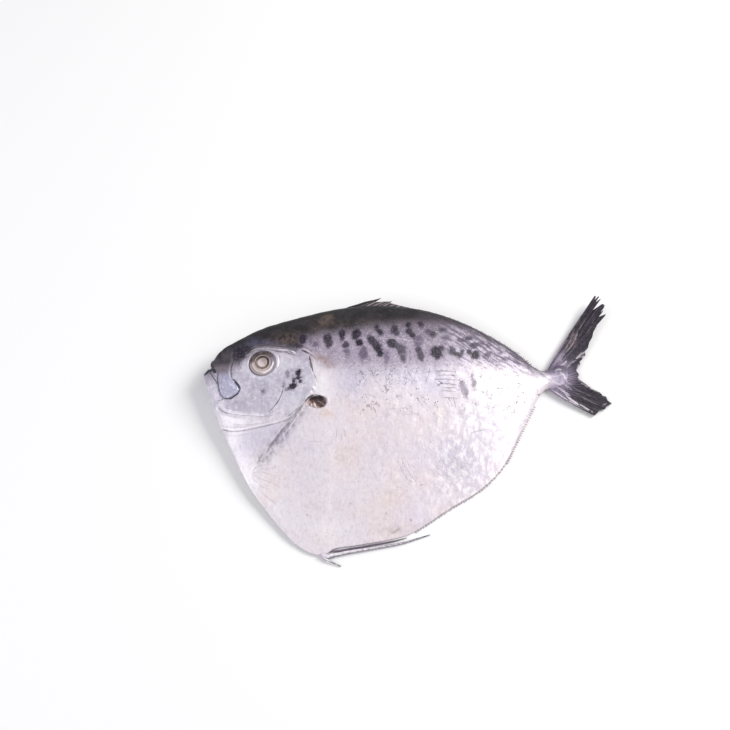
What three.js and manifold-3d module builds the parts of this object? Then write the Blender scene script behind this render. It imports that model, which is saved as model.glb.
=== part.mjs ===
// A whole moonfish: a thin, deep-bellied silver sea fish, lying on its right side as on a slab or a plate.
// Millimetres, +Z up. The snout points along -X, the back lies towards +Y and the left side faces up.
// Each mesh is one piece of the fish: the body, the two eyes, the tail, dorsal, anal and pelvic fins, and the
// stumps of the two pectoral fins in their hollows.
import * as THREE from "three";
import Module from "manifold-3d";
import { mergeVertices } from "three/addons/utils/BufferGeometryUtils.js";

const wasm = await Module();
wasm.setup();

// ---------------------------------------------------------------- driving dimensions

const JAW_X = -106.5; // tip of the lower jaw
const STALK_END_X = 80; // end of the flesh of the tail stalk
const GAP = 0.3; // clearance between pieces that touch
const SKIN_FOLD = 0.35; // half the thickness of the body's sharp edge
const FIN_HALF = 0.4; // half the thickness of a fin's thin edge

const EYE = { x: -75.6, y: 33.2, radius: 6.8, bulge: 1.2, depth: 4.2 };
const PECTORAL_HOLLOW = { x: -47.8, y: 11.4, halfLength: 5.4, halfWidth: 3.4, depth: 2.2 };

// Side view of the body, as [x, y] points that a smooth line runs through.
const BACK_LINE = [
  [-106.5, 30.2], [-104.6, 32.8], [-102.9, 33.4], [-102.2, 37], [-98, 43.2], [-88, 49.6], [-77, 55.4],
  [-57, 61.8], [-36, 67.2], [-14.5, 69.4], [7, 68], [28, 61.8], [49, 51], [59.5, 43.4], [66.5, 37.2],
  [71, 35.6], [76, 37], [80, 39.4],
];
const BELLY_LINE = [
  [-106.5, 29.2], [-104, 21], [-98.8, 6.8], [-91.6, -9.2], [-80.7, -30.4], [-70, -44.8], [-60, -56.4],
  [-51, -63], [-43.5, -64.8], [-38, -61.4], [-27.6, -59.7], [-9, -56.2], [1, -53], [20, -40.2], [36, -30],
  [49, -16.2],
  [57.6, 0.2], [66, 16.6], [70.4, 23.6], [73.5, 25.8], [80, 23.6],
];
// Half the width of the body along its length, and how high up each cross section its widest point is.
const HALF_WIDTH = [
  [-106.5, 1.6], [-100, 4.6], [-90, 6.8], [-76, 8.6], [-60, 10.2], [-42, 11], [-10, 10.4], [20, 8.4], [50, 5],
  [68, 3], [80, 1.5],
];
const WIDEST_AT = [[-106.5, 0.5], [-88, 0.66], [-60, 0.74], [0, 0.74], [50, 0.66], [72, 0.5], [80, 0.5]];

// ---------------------------------------------------------------- curves

// A smooth line through [x, y] points that never swings past a point, so a step stays a step.
function lineThrough(points) {
  const slopes = points.slice(1).map((p, i) => (p[1] - points[i][1]) / (p[0] - points[i][0]));
  const tangents = points.map((_, i) => {
    if (i === 0) return slopes[0];
    if (i === points.length - 1) return slopes[i - 1];
    const [before, after] = [slopes[i - 1], slopes[i]];
    if (before * after <= 0) return 0;
    const chord = (points[i + 1][1] - points[i - 1][1]) / (points[i + 1][0] - points[i - 1][0]);
    const steepest = 3 * Math.min(Math.abs(before), Math.abs(after));
    return Math.sign(chord) * Math.min(Math.abs(chord), steepest);
  });
  return (x) => {
    let i = points.findIndex((p) => p[0] >= x) - 1;
    if (i < -1) i = points.length - 2;
    i = Math.max(0, i);
    const [x0, y0] = points[i];
    const [x1, y1] = points[i + 1];
    const width = x1 - x0;
    const t = THREE.MathUtils.clamp((x - x0) / width, 0, 1);
    const hermite = THREE.MathUtils.lerp(y0, y1, t * t * (3 - 2 * t));
    return hermite + width * t * (1 - t) * ((1 - t) * tangents[i] - t * tangents[i + 1]);
  };
}

const backLine = lineThrough(BACK_LINE);
const bellyLine = lineThrough(BELLY_LINE);
const halfWidth = lineThrough(HALF_WIDTH);
const widestAt = lineThrough(WIDEST_AT);

// The body is a wedge, thick along the back and sharp at the belly. Lying on a flank, its middle surface
// leans back and runs down towards the tail: this is the height of that surface over the slab. It levels
// out where the thin edge lies on the slab.
function midHeight(x, y) {
  const behindHead = 14 * Math.log1p(Math.exp((x + 45) / 14));
  const leaning = 10.8 + 0.094 * (y - 35) - 0.065 * behindHead;
  return FIN_HALF + 0.8 * Math.log1p(Math.exp((leaning - FIN_HALF) / 0.8));
}

// Distance from the middle surface to the skin. rise is 0 at the belly's edge and 1 at the back's.
function skinOffset(x, rise) {
  const power = Math.log(0.5) / Math.log(widestAt(x));
  const swell = Math.sqrt(Math.max(0, Math.sin(Math.PI * Math.pow(rise, power))));
  return SKIN_FOLD + halfWidth(x) * swell;
}

function skinOffsetAt(x, y) {
  return skinOffset(x, (y - bellyLine(x)) / (backLine(x) - bellyLine(x)));
}

// ---------------------------------------------------------------- solids

// Closed surface through rings of points, each ring running the same way round, with flat end caps.
function loft(rings) {
  const around = rings[0].length;
  const positions = rings.flat(2);
  const faces = [];
  for (let i = 0; i + 1 < rings.length; i++)
    for (let j = 0; j < around; j++) {
      const a = i * around + j;
      const b = i * around + ((j + 1) % around);
      faces.push(a, b, b + around, a, b + around, a + around);
    }
  [rings[0], rings.at(-1)].forEach((ring, end) => {
    const centre = positions.length / 3;
    const first = end ? (rings.length - 1) * around : 0;
    const sum = ring.reduce((s, p) => s.add(new THREE.Vector3(...p)), new THREE.Vector3());
    positions.push(...sum.divideScalar(around).toArray());
    for (let j = 0; j < around; j++) {
      const [a, b] = [first + j, first + ((j + 1) % around)];
      faces.push(centre, ...(end ? [a, b] : [b, a]));
    }
  });
  const geometry = new THREE.BufferGeometry();
  geometry.setAttribute("position", new THREE.Float32BufferAttribute(positions, 3));
  geometry.setIndex(faces);
  return facingOut(geometry);
}

// Turns every face round if the closed surface holds a negative volume.
function facingOut(geometry) {
  const p = geometry.getAttribute("position");
  const index = Array.from(geometry.index.array);
  const corner = (k) => new THREE.Vector3().fromBufferAttribute(p, index[k]);
  let volume = 0;
  for (let i = 0; i < index.length; i += 3) volume += corner(i).dot(corner(i + 1).cross(corner(i + 2)));
  if (volume < 0) index.reverse();
  geometry.setIndex(index);
  return geometry;
}

function toSolid(geometry) {
  const bare = geometry.clone();
  bare.deleteAttribute("normal");
  bare.deleteAttribute("uv");
  const merged = mergeVertices(bare, 1e-4);
  return new wasm.Manifold(
    new wasm.Mesh({
      numProp: 3,
      vertProperties: new Float32Array(merged.getAttribute("position").array),
      triVerts: new Uint32Array(merged.index.array),
    }),
  );
}

function toGeometry(solid) {
  const mesh = solid.getMesh();
  const geometry = new THREE.BufferGeometry();
  geometry.setAttribute("position", new THREE.Float32BufferAttribute(mesh.vertProperties, 3));
  geometry.setIndex(Array.from(mesh.triVerts));
  geometry.computeVertexNormals();
  return geometry;
}

// ---------------------------------------------------------------- body

const STATIONS = 58;
const STEPS_UP_SIDE = 13;

// Rings across the fish from the jaw to the tail stalk. The side that lies on the slab is pressed flat.
function bodyGeometry() {
  const rings = [];
  for (let i = 0; i <= STATIONS; i++) {
    const along = Math.pow(i / STATIONS, 1.35);
    const x = JAW_X + (STALK_END_X - JAW_X) * along;
    const [low, high] = [bellyLine(x), backLine(x)];
    const side = [];
    for (let j = 0; j <= STEPS_UP_SIDE; j++) {
      const rise = (1 - Math.cos((Math.PI * j) / STEPS_UP_SIDE)) / 2;
      side.push({ y: low + (high - low) * rise, offset: skinOffset(x, rise) });
    }
    const left = side.map(({ y, offset }) => [x, y, midHeight(x, y) + offset]);
    const right = side.map(({ y, offset }) => [x, y, Math.max(0, midHeight(x, y) - offset)]);
    rings.push([...left, ...right.reverse()]);
  }
  return loft(rings);
}

// A flattened ball with its short axis along Z.
function pebble(halfLength, halfWidth, halfHeight, aroundSteps = 20, upSteps = 10) {
  const ball = new THREE.SphereGeometry(1, aroundSteps, upSteps);
  ball.rotateX(Math.PI / 2);
  ball.scale(halfLength, halfWidth, halfHeight);
  return ball;
}

// Calls make(sign, surfaceHeight) for the upper, left side (+1) and the lower, right side (-1).
function bothSides(x, y, make) {
  return [1, -1].map((sign) => make(sign, midHeight(x, y) + sign * skinOffsetAt(x, y)));
}

function eyeGeometry(sign, surface, grow) {
  const eye = pebble(EYE.radius + grow, EYE.radius + grow, EYE.depth + grow);
  return eye.translate(EYE.x, EYE.y, surface + sign * (EYE.bulge - EYE.depth));
}

function hollowGeometry(sign, surface) {
  const { x, y, halfLength, halfWidth: across, depth } = PECTORAL_HOLLOW;
  const hollow = pebble(halfLength, across, depth, 16, 8).rotateZ(-0.35);
  return hollow.translate(x, y, sign > 0 ? surface : Math.max(surface, 0));
}

let body = toSolid(bodyGeometry());
bothSides(EYE.x, EYE.y, (sign, surface) => {
  body = body.subtract(toSolid(eyeGeometry(sign, surface, GAP)));
});
bothSides(PECTORAL_HOLLOW.x, PECTORAL_HOLLOW.y, (sign, surface) => {
  body = body.subtract(toSolid(hollowGeometry(sign, surface)));
});

// ---------------------------------------------------------------- fins

// A fin as a thin plate: rows of rays from root to tip, each a list of [x, y, z, halfThickness] points.
function finGeometry(rays) {
  const rings = rays.map((ray) => [
    ...ray.map(([x, y, z, half]) => [x, y, z + half]),
    ...ray.map(([x, y, z, half]) => [x, y, Math.max(0, z - half)]).reverse(),
  ]);
  return loft(rings);
}

// Tail fin: rays fan out from the end of the stalk. tips runs from the upper lobe over the fork to the lower
// lobe; the short steps between long ones are the gaps between frayed ray ends.
const TAIL_TIPS = [
  [101.8, 79.2], [104.4, 77.6], [97.6, 71.6], [98.6, 70.4], [105.8, 73.4], [106.5, 67.8], [101.6, 62.4],
  [97.6, 54.2], [94.6, 47.4], [93.8, 44.4], [90.6, 40.4], [89, 36.8], [90.4, 31.4], [96.2, 28.2], [103, 22.8],
  [106.5, 18.6], [103.2, 15], [97.2, 12.2],
];
const TAIL_ROOT = { x: STALK_END_X + GAP, top: 39.2, bottom: 23.8 };
const TAIL_STEPS = [0, 0.14, 0.3, 0.48, 0.66, 0.84, 1];

function tailFinHeight(x, y) {
  const past = (x - TAIL_ROOT.x) / 26;
  const upward = THREE.MathUtils.clamp((y - 36) / 40, 0, 1);
  return 2.1 + past * (5.5 * upward - 0.9 * (1 - upward));
}

function tailFinGeometry() {
  const rays = TAIL_TIPS.map(([tipX, tipY], i) => {
    const down = i / (TAIL_TIPS.length - 1);
    const rootY = THREE.MathUtils.lerp(TAIL_ROOT.top, TAIL_ROOT.bottom, down);
    return TAIL_STEPS.map((s) => {
      const [x, y] = [THREE.MathUtils.lerp(TAIL_ROOT.x, tipX, s), THREE.MathUtils.lerp(rootY, tipY, s)];
      return [x, y, tailFinHeight(x, y), THREE.MathUtils.lerp(1.1, FIN_HALF, Math.sqrt(s))];
    });
  });
  return finGeometry(rays);
}

// A low fin that stands on an edge of the body: base(x) is the edge's y, height(x) how far it stands out
// along the outward direction.
function edgeFinGeometry(fromX, toX, steps, base, height, outward, lean) {
  const rays = [];
  for (let i = 0; i <= steps; i++) {
    const x = THREE.MathUtils.lerp(fromX, toX, i / steps);
    const slope = (base(x + 0.5) - base(x - 0.5)) / 1;
    const normal = new THREE.Vector2(-slope, 1).normalize().multiplyScalar(outward);
    const reach = height(x);
    const point = (out) => [x + normal.x * out + lean * (out - GAP), base(x) + normal.y * out];
    const ray = [GAP, GAP + reach].map((out) => {
      const [px, py] = point(out);
      return [px, py, Math.max(midHeight(x, base(x)), FIN_HALF), FIN_HALF];
    });
    rays.push(ray);
  }
  return finGeometry(rays);
}

const DORSAL_FIN_HEIGHT = [
  [-35, 0.5], [-26, 2.6], [-14, 4.6], [-8, 3.6], [0, 1.3], [30, 1], [48, 1.6], [62, 0.6],
];
const ANAL_FIN_HEIGHT = [[3, 0.4], [12, 0.9], [40, 1.2], [60, 1.5], [66, 0.8]];

// Pelvic fins: long thin rays that trail back along the keel from its lowest point.
function rayGeometry(points, rootRadius, tipRadius) {
  const curve = new THREE.CatmullRomCurve3(points.map((p) => new THREE.Vector3(...p)));
  const steps = 16;
  const sides = 8;
  const rings = [];
  for (let i = 0; i <= steps; i++) {
    const centre = curve.getPoint(i / steps);
    const ahead = curve.getTangent(i / steps);
    const across = new THREE.Vector3(-ahead.y, ahead.x, 0).normalize();
    const radius = THREE.MathUtils.lerp(rootRadius, tipRadius, i / steps);
    const ring = [];
    for (let j = 0; j < sides; j++) {
      const turn = (2 * Math.PI * j) / sides;
      const out = across.clone().multiplyScalar(Math.cos(turn) * radius);
      ring.push([centre.x + out.x, centre.y + out.y, centre.z + Math.sin(turn) * radius]);
    }
    rings.push(ring);
  }
  return loft(rings);
}

const LEFT_PELVIC_RAY = [
  [-41.8, -66.6, 1.7], [-38, -65, 1.6], [-30, -63.1, 1.5], [-17.6, -60.9, 1.3], [-5, -58.6, 1.1],
  [2.4, -56.4, 0.9], [10, -53.8, 0.7],
];
const LEFT_BROKEN_RAY = [[-42.2, -66.8, 1.6], [-39.5, -68, 1.4], [-34.5, -70.2, 0.8]];
const RIGHT_PELVIC_RAY = [
  [-36.6, -62.6, 0.9], [-27.6, -61, 0.9], [-17.6, -59.2, 0.8], [-9, -57.6, 0.8], [-1.6, -55.7, 0.8],
];

// ---------------------------------------------------------------- pectoral fin stumps

// A few short broken rays on a small pad of flesh, set in the hollow behind the gill cover.
function stumpGeometry(sign, surface) {
  const { x, y, depth } = PECTORAL_HOLLOW;
  const pad = pebble(3.4, 1.7, 0.9, 14, 8).rotateZ(-0.35);
  return pad.translate(x, y, Math.max(surface, 0) + sign * (0.9 + GAP - depth));
}

// ---------------------------------------------------------------- the fish

const SKIN = new THREE.MeshStandardMaterial({ color: 0xd9d2dc, roughness: 0.35, metalness: 0.35 });
const FIN = new THREE.MeshStandardMaterial({ color: 0x4a4450, roughness: 0.5, metalness: 0 });
const RAY = new THREE.MeshStandardMaterial({ color: 0xb9afc4, roughness: 0.45, metalness: 0 });
const EYE_SKIN = new THREE.MeshStandardMaterial({ color: 0xbfb3b0, roughness: 0.12, metalness: 0 });
const FLESH = new THREE.MeshStandardMaterial({ color: 0x6b4a42, roughness: 0.5, metalness: 0 });

const fish = new THREE.Group();

function addPiece(name, geometry, material) {
  const mesh = new THREE.Mesh(geometry, material);
  mesh.name = name;
  fish.add(mesh);
}

addPiece("body", toGeometry(body), SKIN);
const SIDE_NAMES = { 1: "left", "-1": "right" };
bothSides(EYE.x, EYE.y, (sign, surface) => {
  addPiece(`${SIDE_NAMES[sign]}_eye`, eyeGeometry(sign, surface, 0), EYE_SKIN);
});
bothSides(PECTORAL_HOLLOW.x, PECTORAL_HOLLOW.y, (sign, surface) => {
  addPiece(`${SIDE_NAMES[sign]}_pectoral_fin_stump`, stumpGeometry(sign, surface), FLESH);
});
addPiece("tail_fin", tailFinGeometry(), FIN);
const dorsalFinHeight = lineThrough(DORSAL_FIN_HEIGHT);
addPiece("dorsal_fin", edgeFinGeometry(-35, 62, 36, backLine, dorsalFinHeight, 1, 0.9), FIN);
const analFinHeight = lineThrough(ANAL_FIN_HEIGHT);
addPiece("anal_fin", edgeFinGeometry(3, 66, 30, bellyLine, analFinHeight, -1, 0.3), RAY);
const leftRays = toSolid(rayGeometry(LEFT_PELVIC_RAY, 0.9, 0.4)).add(
  toSolid(rayGeometry(LEFT_BROKEN_RAY, 0.9, 0.4)),
);
addPiece("left_pelvic_fin", toGeometry(leftRays), RAY);
addPiece("right_pelvic_fin", rayGeometry(RIGHT_PELVIC_RAY, 0.6, 0.35), FIN);

// The origin is on the slab, under the middle of the whole fish.
const box = new THREE.Box3().setFromObject(fish, true);
const middle = box.getCenter(new THREE.Vector3());
fish.position.set(-middle.x, -middle.y, -box.min.z);

export default fish;
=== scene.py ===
"""A whole moonfish lying on its right side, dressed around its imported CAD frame."""
import math
import bpy
import numpy as np
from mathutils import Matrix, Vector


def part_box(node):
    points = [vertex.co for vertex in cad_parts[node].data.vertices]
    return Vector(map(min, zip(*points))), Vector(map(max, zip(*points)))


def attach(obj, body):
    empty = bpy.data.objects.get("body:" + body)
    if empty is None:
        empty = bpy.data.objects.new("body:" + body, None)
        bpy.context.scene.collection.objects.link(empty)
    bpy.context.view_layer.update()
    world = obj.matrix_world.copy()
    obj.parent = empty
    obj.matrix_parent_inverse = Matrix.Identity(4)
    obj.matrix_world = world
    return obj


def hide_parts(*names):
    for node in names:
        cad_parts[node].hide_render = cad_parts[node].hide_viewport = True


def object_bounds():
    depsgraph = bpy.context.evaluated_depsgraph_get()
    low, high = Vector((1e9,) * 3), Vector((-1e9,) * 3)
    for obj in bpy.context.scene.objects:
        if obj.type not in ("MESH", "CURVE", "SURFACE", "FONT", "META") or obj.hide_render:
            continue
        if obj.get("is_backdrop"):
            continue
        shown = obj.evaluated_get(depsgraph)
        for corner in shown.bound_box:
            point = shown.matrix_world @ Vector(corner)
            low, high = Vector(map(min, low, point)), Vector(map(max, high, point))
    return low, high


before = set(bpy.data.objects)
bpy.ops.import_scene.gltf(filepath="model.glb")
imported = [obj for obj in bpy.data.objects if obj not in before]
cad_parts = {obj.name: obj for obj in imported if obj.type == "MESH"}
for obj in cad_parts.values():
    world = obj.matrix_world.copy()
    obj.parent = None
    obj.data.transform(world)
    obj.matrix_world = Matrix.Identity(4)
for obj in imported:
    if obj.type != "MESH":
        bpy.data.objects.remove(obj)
cad_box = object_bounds()

# ---------------------------------------------------------------- body
# Head, trunk and tail stalk: one unbroken skin over a thin wedge of flesh, thick under the back and sharp
# along the belly. It lies on its soft right flank, which is pressed flat. Lengths in this file are in
# millimetres unless they say otherwise, x from snout to tail and y towards the back.
MM = 0.001
TAIL_TOP = 79.2
ZERO_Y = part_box("tail_fin")[1].y / MM - TAIL_TOP  # where the fish's own y starts in the frame

JAW_X, FLESH_END_X = -106.5, 84.6
SKIN_FOLD = 0.35  # half the body's thickness at its edges, where the skins of both flanks meet
SLAB_GAP = 0.02  # how far every piece is kept off the slab that the fish lies on
BACK_LINE = [
    (-106.5, 30.2), (-104.6, 32.8), (-102.9, 33.4), (-102.2, 37), (-98, 43.2), (-88, 49.6), (-77, 55.4),
    (-57, 61.8), (-36, 67.2), (-14.5, 69.4), (7, 68), (28, 61.8), (49, 51), (59.5, 43.4), (66.5, 37.2),
    (71, 35.6), (76, 37), (80, 39), (82.6, 38.4), (84, 36.8), (84.6, 34.6),
]
BELLY_LINE = [
    (-106.5, 29.2), (-104, 21), (-98.8, 6.8), (-91.6, -9.2), (-80.7, -30.4), (-70, -44.8), (-60, -56.4),
    (-51, -63), (-43.5, -64.8), (-38, -61.4), (-27.6, -59.7), (-9, -56.2), (1, -53), (20, -40.2),
    (36, -30), (49, -16.2), (57.6, 0.2), (66, 16.6), (70.4, 23.6), (73.5, 25.8), (80, 24), (82.6, 26.4),
    (84, 29.6), (84.6, 33),
]
HALF_WIDTH = [
    (-106.5, 1.6), (-100, 4.6), (-90, 6.8), (-76, 8.6), (-60, 10.2), (-42, 11), (-10, 10.4), (20, 8.4),
    (50, 5), (66, 3), (74, 1.8), (80, 0.8), (84.6, 0.1),
]
WIDEST_AT = [(-106.5, 0.5), (-88, 0.66), (-60, 0.74), (0, 0.74), (50, 0.66), (72, 0.5), (84.6, 0.5)]


def line_through(points):
    """A smooth line through (x, y) points that never swings past one of them."""
    px, py = np.array(points, float).T
    slope = np.diff(py) / np.diff(px)
    chord = (py[2:] - py[:-2]) / (px[2:] - px[:-2])
    steepest = 3 * np.minimum(abs(slope[1:]), abs(slope[:-1]))
    eased = np.sign(chord) * np.minimum(abs(chord), steepest)
    inner = np.where(slope[1:] * slope[:-1] > 0, eased, 0)
    tangent = np.concatenate([slope[:1], inner, slope[-1:]])

    def line(x):
        i = np.clip(np.searchsorted(px, x) - 1, 0, len(px) - 2)
        width = px[i + 1] - px[i]
        t = np.clip((x - px[i]) / width, 0, 1)
        rise = py[i] + (py[i + 1] - py[i]) * t * t * (3 - 2 * t)
        return rise + width * t * (1 - t) * ((1 - t) * tangent[i] - t * tangent[i + 1])

    return line


back_line, belly_line = line_through(BACK_LINE), line_through(BELLY_LINE)
half_width, widest_at = line_through(HALF_WIDTH), line_through(WIDEST_AT)


def mid_height(x, y):
    """Height over the slab of the fish's middle surface, which leans back and runs down to the tail."""
    leaning = 10.8 + 0.094 * (y - 35) - 0.91 * np.logaddexp(0, (x + 45) / 14)
    return 0.4 + 0.8 * np.logaddexp(0, (leaning - 0.4) / 0.8)


def skin_offset(x, rise):
    """How far the skin is from the middle surface; rise is 0 at the belly's edge and 1 at the back's."""
    swell = np.sin(np.pi * rise ** (np.log(0.5) / np.log(widest_at(x))))
    return SKIN_FOLD + half_width(x) * np.sqrt(np.maximum(0, swell))


def skin_height(x, y, side):
    """Height of the smooth skin: side is 1 for the left flank, which faces up, and -1 for the right."""
    low, high = belly_line(x), back_line(x)
    offset = skin_offset(x, np.clip((y - low) / (high - low), 0, 1))
    return np.maximum(0, mid_height(x, y) + side * offset)


def curve_through(points, steps):
    """Closely spaced points of a smooth curve through given ones, in as many dimensions as they have."""
    p = np.array(points, float)
    p = np.vstack([2 * p[0] - p[1], p, 2 * p[-1] - p[-2]])
    t = np.linspace(0, 1, steps, endpoint=False)[:, None]
    spans = []
    for a, b, c, d in zip(p, p[1:], p[2:], p[3:]):
        cubic = (3 * b - a - 3 * c + d) * t**3 + (2 * a - 5 * b + 4 * c - d) * t**2
        spans.append((cubic + (c - a) * t + 2 * b) / 2)
    return np.vstack([*spans, p[-2:-1]])


def away_from(points, x, y, reach=9.0, steps=12):
    """For each place: its distance from a curve, up to reach; how far along the curve, 0 to 1, it is
    nearest; and 1 where it lies on the curve's left as the curve runs, -1 on its right."""
    curve = curve_through(points, steps)
    distance, along, side = np.full(x.shape, float(reach)), np.zeros(x.shape), np.ones(x.shape)
    low, high = curve.min(0) - reach, curve.max(0) + reach
    near = (x > low[0]) & (x < high[0]) & (y > low[1]) & (y < high[1])
    start, (dx, dy) = curve[:-1], np.diff(curve, axis=0).T
    to_x, to_y = x[near][:, None] - start[:, 0], y[near][:, None] - start[:, 1]
    t = np.clip((to_x * dx + to_y * dy) / (dx**2 + dy**2), 0, 1)
    gap = np.hypot(to_x - t * dx, to_y - t * dy)
    rows, best = np.arange(len(gap)), gap.argmin(1)
    distance[near] = np.minimum(gap[rows, best], reach)
    along[near] = (best + t[rows, best]) / len(start)
    side[near] = np.where(dx[best] * to_y[rows, best] > dy[best] * to_x[rows, best], 1, -1)
    return distance, along, side


def fade(value, low, high):
    """0 below low, 1 above high and smooth between; the other way round when low is above high."""
    t = np.clip((value - low) / (high - low), 0, 1)
    return t * t * (3 - 2 * t)


def ridge(distance, width):
    """1 on a line, falling smoothly to nothing about two widths from it."""
    return np.exp(-((distance / width) ** 2))


HEAD_END_X, HEAD_STATIONS, TRUNK_STATIONS = -46, 150, 170
UP_STEPS, UNDER_STEPS = 236, 68
stations = np.concatenate([
    np.linspace(JAW_X, HEAD_END_X, HEAD_STATIONS, endpoint=False),
    np.linspace(HEAD_END_X, FLESH_END_X, TRUNK_STATIONS),
])
even = np.linspace(0, 1, 400)
crowding = 0.55 + 0.8 * ridge(even - 0.7, 0.22)  # the upper flank's marks and both edges need the most rows
crowding = crowding + np.exp(-even / 0.02) + 1.5 * np.exp((even - 1) / 0.03)
rows_so_far = np.concatenate([[0], np.cumsum(crowding[1:] + crowding[:-1])])
rise = np.interp(np.linspace(0, 1, UP_STEPS), rows_so_far / rows_so_far[-1], even)
rise = np.concatenate([rise, 0.5 + 0.5 * np.cos(np.pi * np.linspace(0, 1, UNDER_STEPS))])[None, :]
side = np.concatenate([np.ones(UP_STEPS), -np.ones(UNDER_STEPS)])[None, :] * np.ones((len(stations), 1))
X = stations[:, None] * np.ones_like(rise)
Y = belly_line(X) + (back_line(X) - belly_line(X)) * rise
offset = skin_offset(X, rise * np.ones_like(X))
skin = np.stack([X, Y, np.maximum(0, mid_height(X, Y) + side * offset)], -1)

# Lines of the head and shoulder. Each is the edge or crest of a bone under the thin skin, a fold of skin, or
# the rim of a hollow.
EYE = (-75.5, 32.6)
GILL_COVER = [
    (-55.5, 38.6), (-51.4, 35.6), (-50.4, 31.2), (-49.3, 26.8), (-47.8, 23.4), (-48, 20.6), (-49.4, 17.6),
    (-51.2, 14), (-53.2, 11), (-56.4, 7.2), (-60.2, 3.2), (-64.8, 1.4), (-69.9, 0.2), (-75, -0.8),
    (-80.1, -1.6), (-85.3, -2.2), (-90.5, -1.9), (-94.8, -0.6), (-97.6, 2), (-99.6, 6),
]
CHEEK_PLATE = [
    (-63.6, 24), (-64, 20.6), (-64.7, 18.4), (-65, 16.6), (-65.8, 14.6), (-66.8, 12.1), (-68.5, 10.1),
    (-70, 8.4), (-71.9, 6.4),
]
JAW_HINGE = [
    (-98, 10.8), (-95.4, 8.5), (-91.7, 7), (-86.4, 5.8), (-80, 5), (-74, 4.4), (-68.4, 5), (-61, 6.6),
]
UPPER_LIP = [  # a spoon-shaped bone that hangs from the snout and swings when the mouth opens
    (-100.2, 30.6), (-99.2, 28.8), (-98.7, 26), (-98.3, 22.6), (-97.7, 19.2), (-96.6, 16.8), (-95, 15.1),
    (-92.9, 14.5), (-90.8, 14.9), (-88.8, 16.1), (-87.5, 17.4), (-87, 19), (-87.6, 20.9), (-89.4, 23.2),
    (-90.9, 24.9), (-91.7, 27), (-91.9, 30), (-91.4, 33.1), (-90.8, 36), (-91.3, 39),
]
LOWER_LIP = [(-105.6, 28.6), (-104.6, 30.2), (-103.3, 31.2), (-101.7, 31), (-100.5, 30), (-99.5, 28.6)]
LIP_FOLD = [(-103.1, 29.7), (-101.8, 27.8), (-100.5, 25.7), (-99.2, 23.7), (-98.2, 21.7), (-97.5, 19.5)]
BROW = [
    (-84.3, 38.8), (-82.3, 40.4), (-79.7, 41.4), (-75.5, 41.7), (-71, 41), (-66.5, 40), (-61.4, 38.8),
    (-58, 37.2),
]
LID_FOLD = [(-71.8, 39.8), (-68.1, 39), (-65, 38.3), (-63.4, 38.2), (-61.3, 37), (-58.2, 36)]
TAN_FOLD = [(-55.2, 39), (-53.6, 38.2), (-51.6, 37.1), (-49.6, 35.6), (-47.6, 33.4)]
SHOULDER = [
    (-50.6, 16), (-53.2, 10.6), (-57.2, 4.4), (-61.6, -1.6), (-66.6, -8), (-72, -15), (-77.6, -22.6),
]
PIT = [
    (-53.4, 10.8), (-51.7, 13), (-50.1, 14.2), (-48.4, 14.9), (-46.6, 14.6), (-44.5, 13.6), (-43, 12),
    (-42.2, 10.2),
]

gill_gap, gill_along, gill_side = away_from(GILL_COVER, X, Y, 80, 5)
inside_gill = gill_gap * -gill_side
cheek_gap, cheek_along, cheek_side = away_from(CHEEK_PLATE, X, Y)
hinge_gap, hinge_along, _ = away_from(JAW_HINGE, X, Y)
lip_gap, lip_along, lip_side = away_from(UPPER_LIP, X, Y, 12)
in_lip = np.where((lip_gap < 6) & (X < -86), lip_gap * lip_side, -lip_gap)
lower_gap, _, _ = away_from(LOWER_LIP, X, Y)
fold_gap, _, _ = away_from(LIP_FOLD, X, Y)
brow_gap, brow_along, _ = away_from(BROW, X, Y)
lid_gap, lid_along, _ = away_from(LID_FOLD, X, Y)
tan_gap, _, _ = away_from(TAN_FOLD, X, Y)
shoulder_gap, shoulder_along, shoulder_side = away_from(SHOULDER, X, Y, 16)
eye_gap = np.hypot(X - EYE[0], Y - EYE[1])
pit_gap, _, _ = away_from(PIT, X, Y)
pit_centre = np.hypot((X + 47.4) / 5, (Y - 10.9 - 0.12 * (X + 47)) / 3.3)

relief = 0.26 * fade(inside_gill, -0.8, 0.8) * fade(inside_gill, 12, 1) * fade(gill_along, 1, 0.9)
relief -= 0.22 * ridge(inside_gill + 1.2, 0.9) * fade(gill_along, 0.2, 0.5) * fade(gill_along, 0.98, 0.9)
relief += 0.14 * ridge(inside_gill - 0.9, 0.8) * fade(gill_along, 0.44, 0.5) * fade(gill_along, 0.96, 0.9)
in_cheek = fade(-cheek_side * cheek_gap, -0.5, 0.6) * fade(cheek_gap, 6, 0.5)
relief += 0.3 * in_cheek * fade(cheek_along, 0, 0.3)
relief -= 0.25 * ridge(cheek_gap, 0.5) * fade(cheek_along, 0.05, 0.3)
relief -= 0.22 * ridge(hinge_gap, 0.5) * fade(hinge_along, 1, 0.6)
relief += 0.22 * ridge(hinge_gap - 1.8, 1.2) * fade(hinge_along, 0.95, 0.6)
relief += 0.7 * fade(in_lip, -0.4, 1) - 0.3 * ridge(lip_gap, 0.45) * fade(lip_along, 0.02, 0.12)
relief += 0.25 * ridge(in_lip - 1.4, 0.9)
relief += 0.5 * ridge(lower_gap, 0.7) - 0.35 * ridge(fold_gap, 0.45)
relief -= 1.3 * ridge(np.hypot(X + 101.4, (Y - 32.4) * 1.6), 1.3)
relief += 0.2 * ridge(brow_gap, 0.8) * fade(brow_along, 0, 0.15) * fade(brow_along, 1, 0.9)
relief -= 0.25 * ridge(lid_gap, 0.6) * fade(lid_along, 0, 0.15)
relief += 0.15 * ridge(np.hypot(X + 60, (Y - 38.6) * 1.8), 1.1)
relief -= 0.3 * ridge(tan_gap, 0.7) - 0.2 * ridge(tan_gap - 1.3, 0.7)
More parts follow.
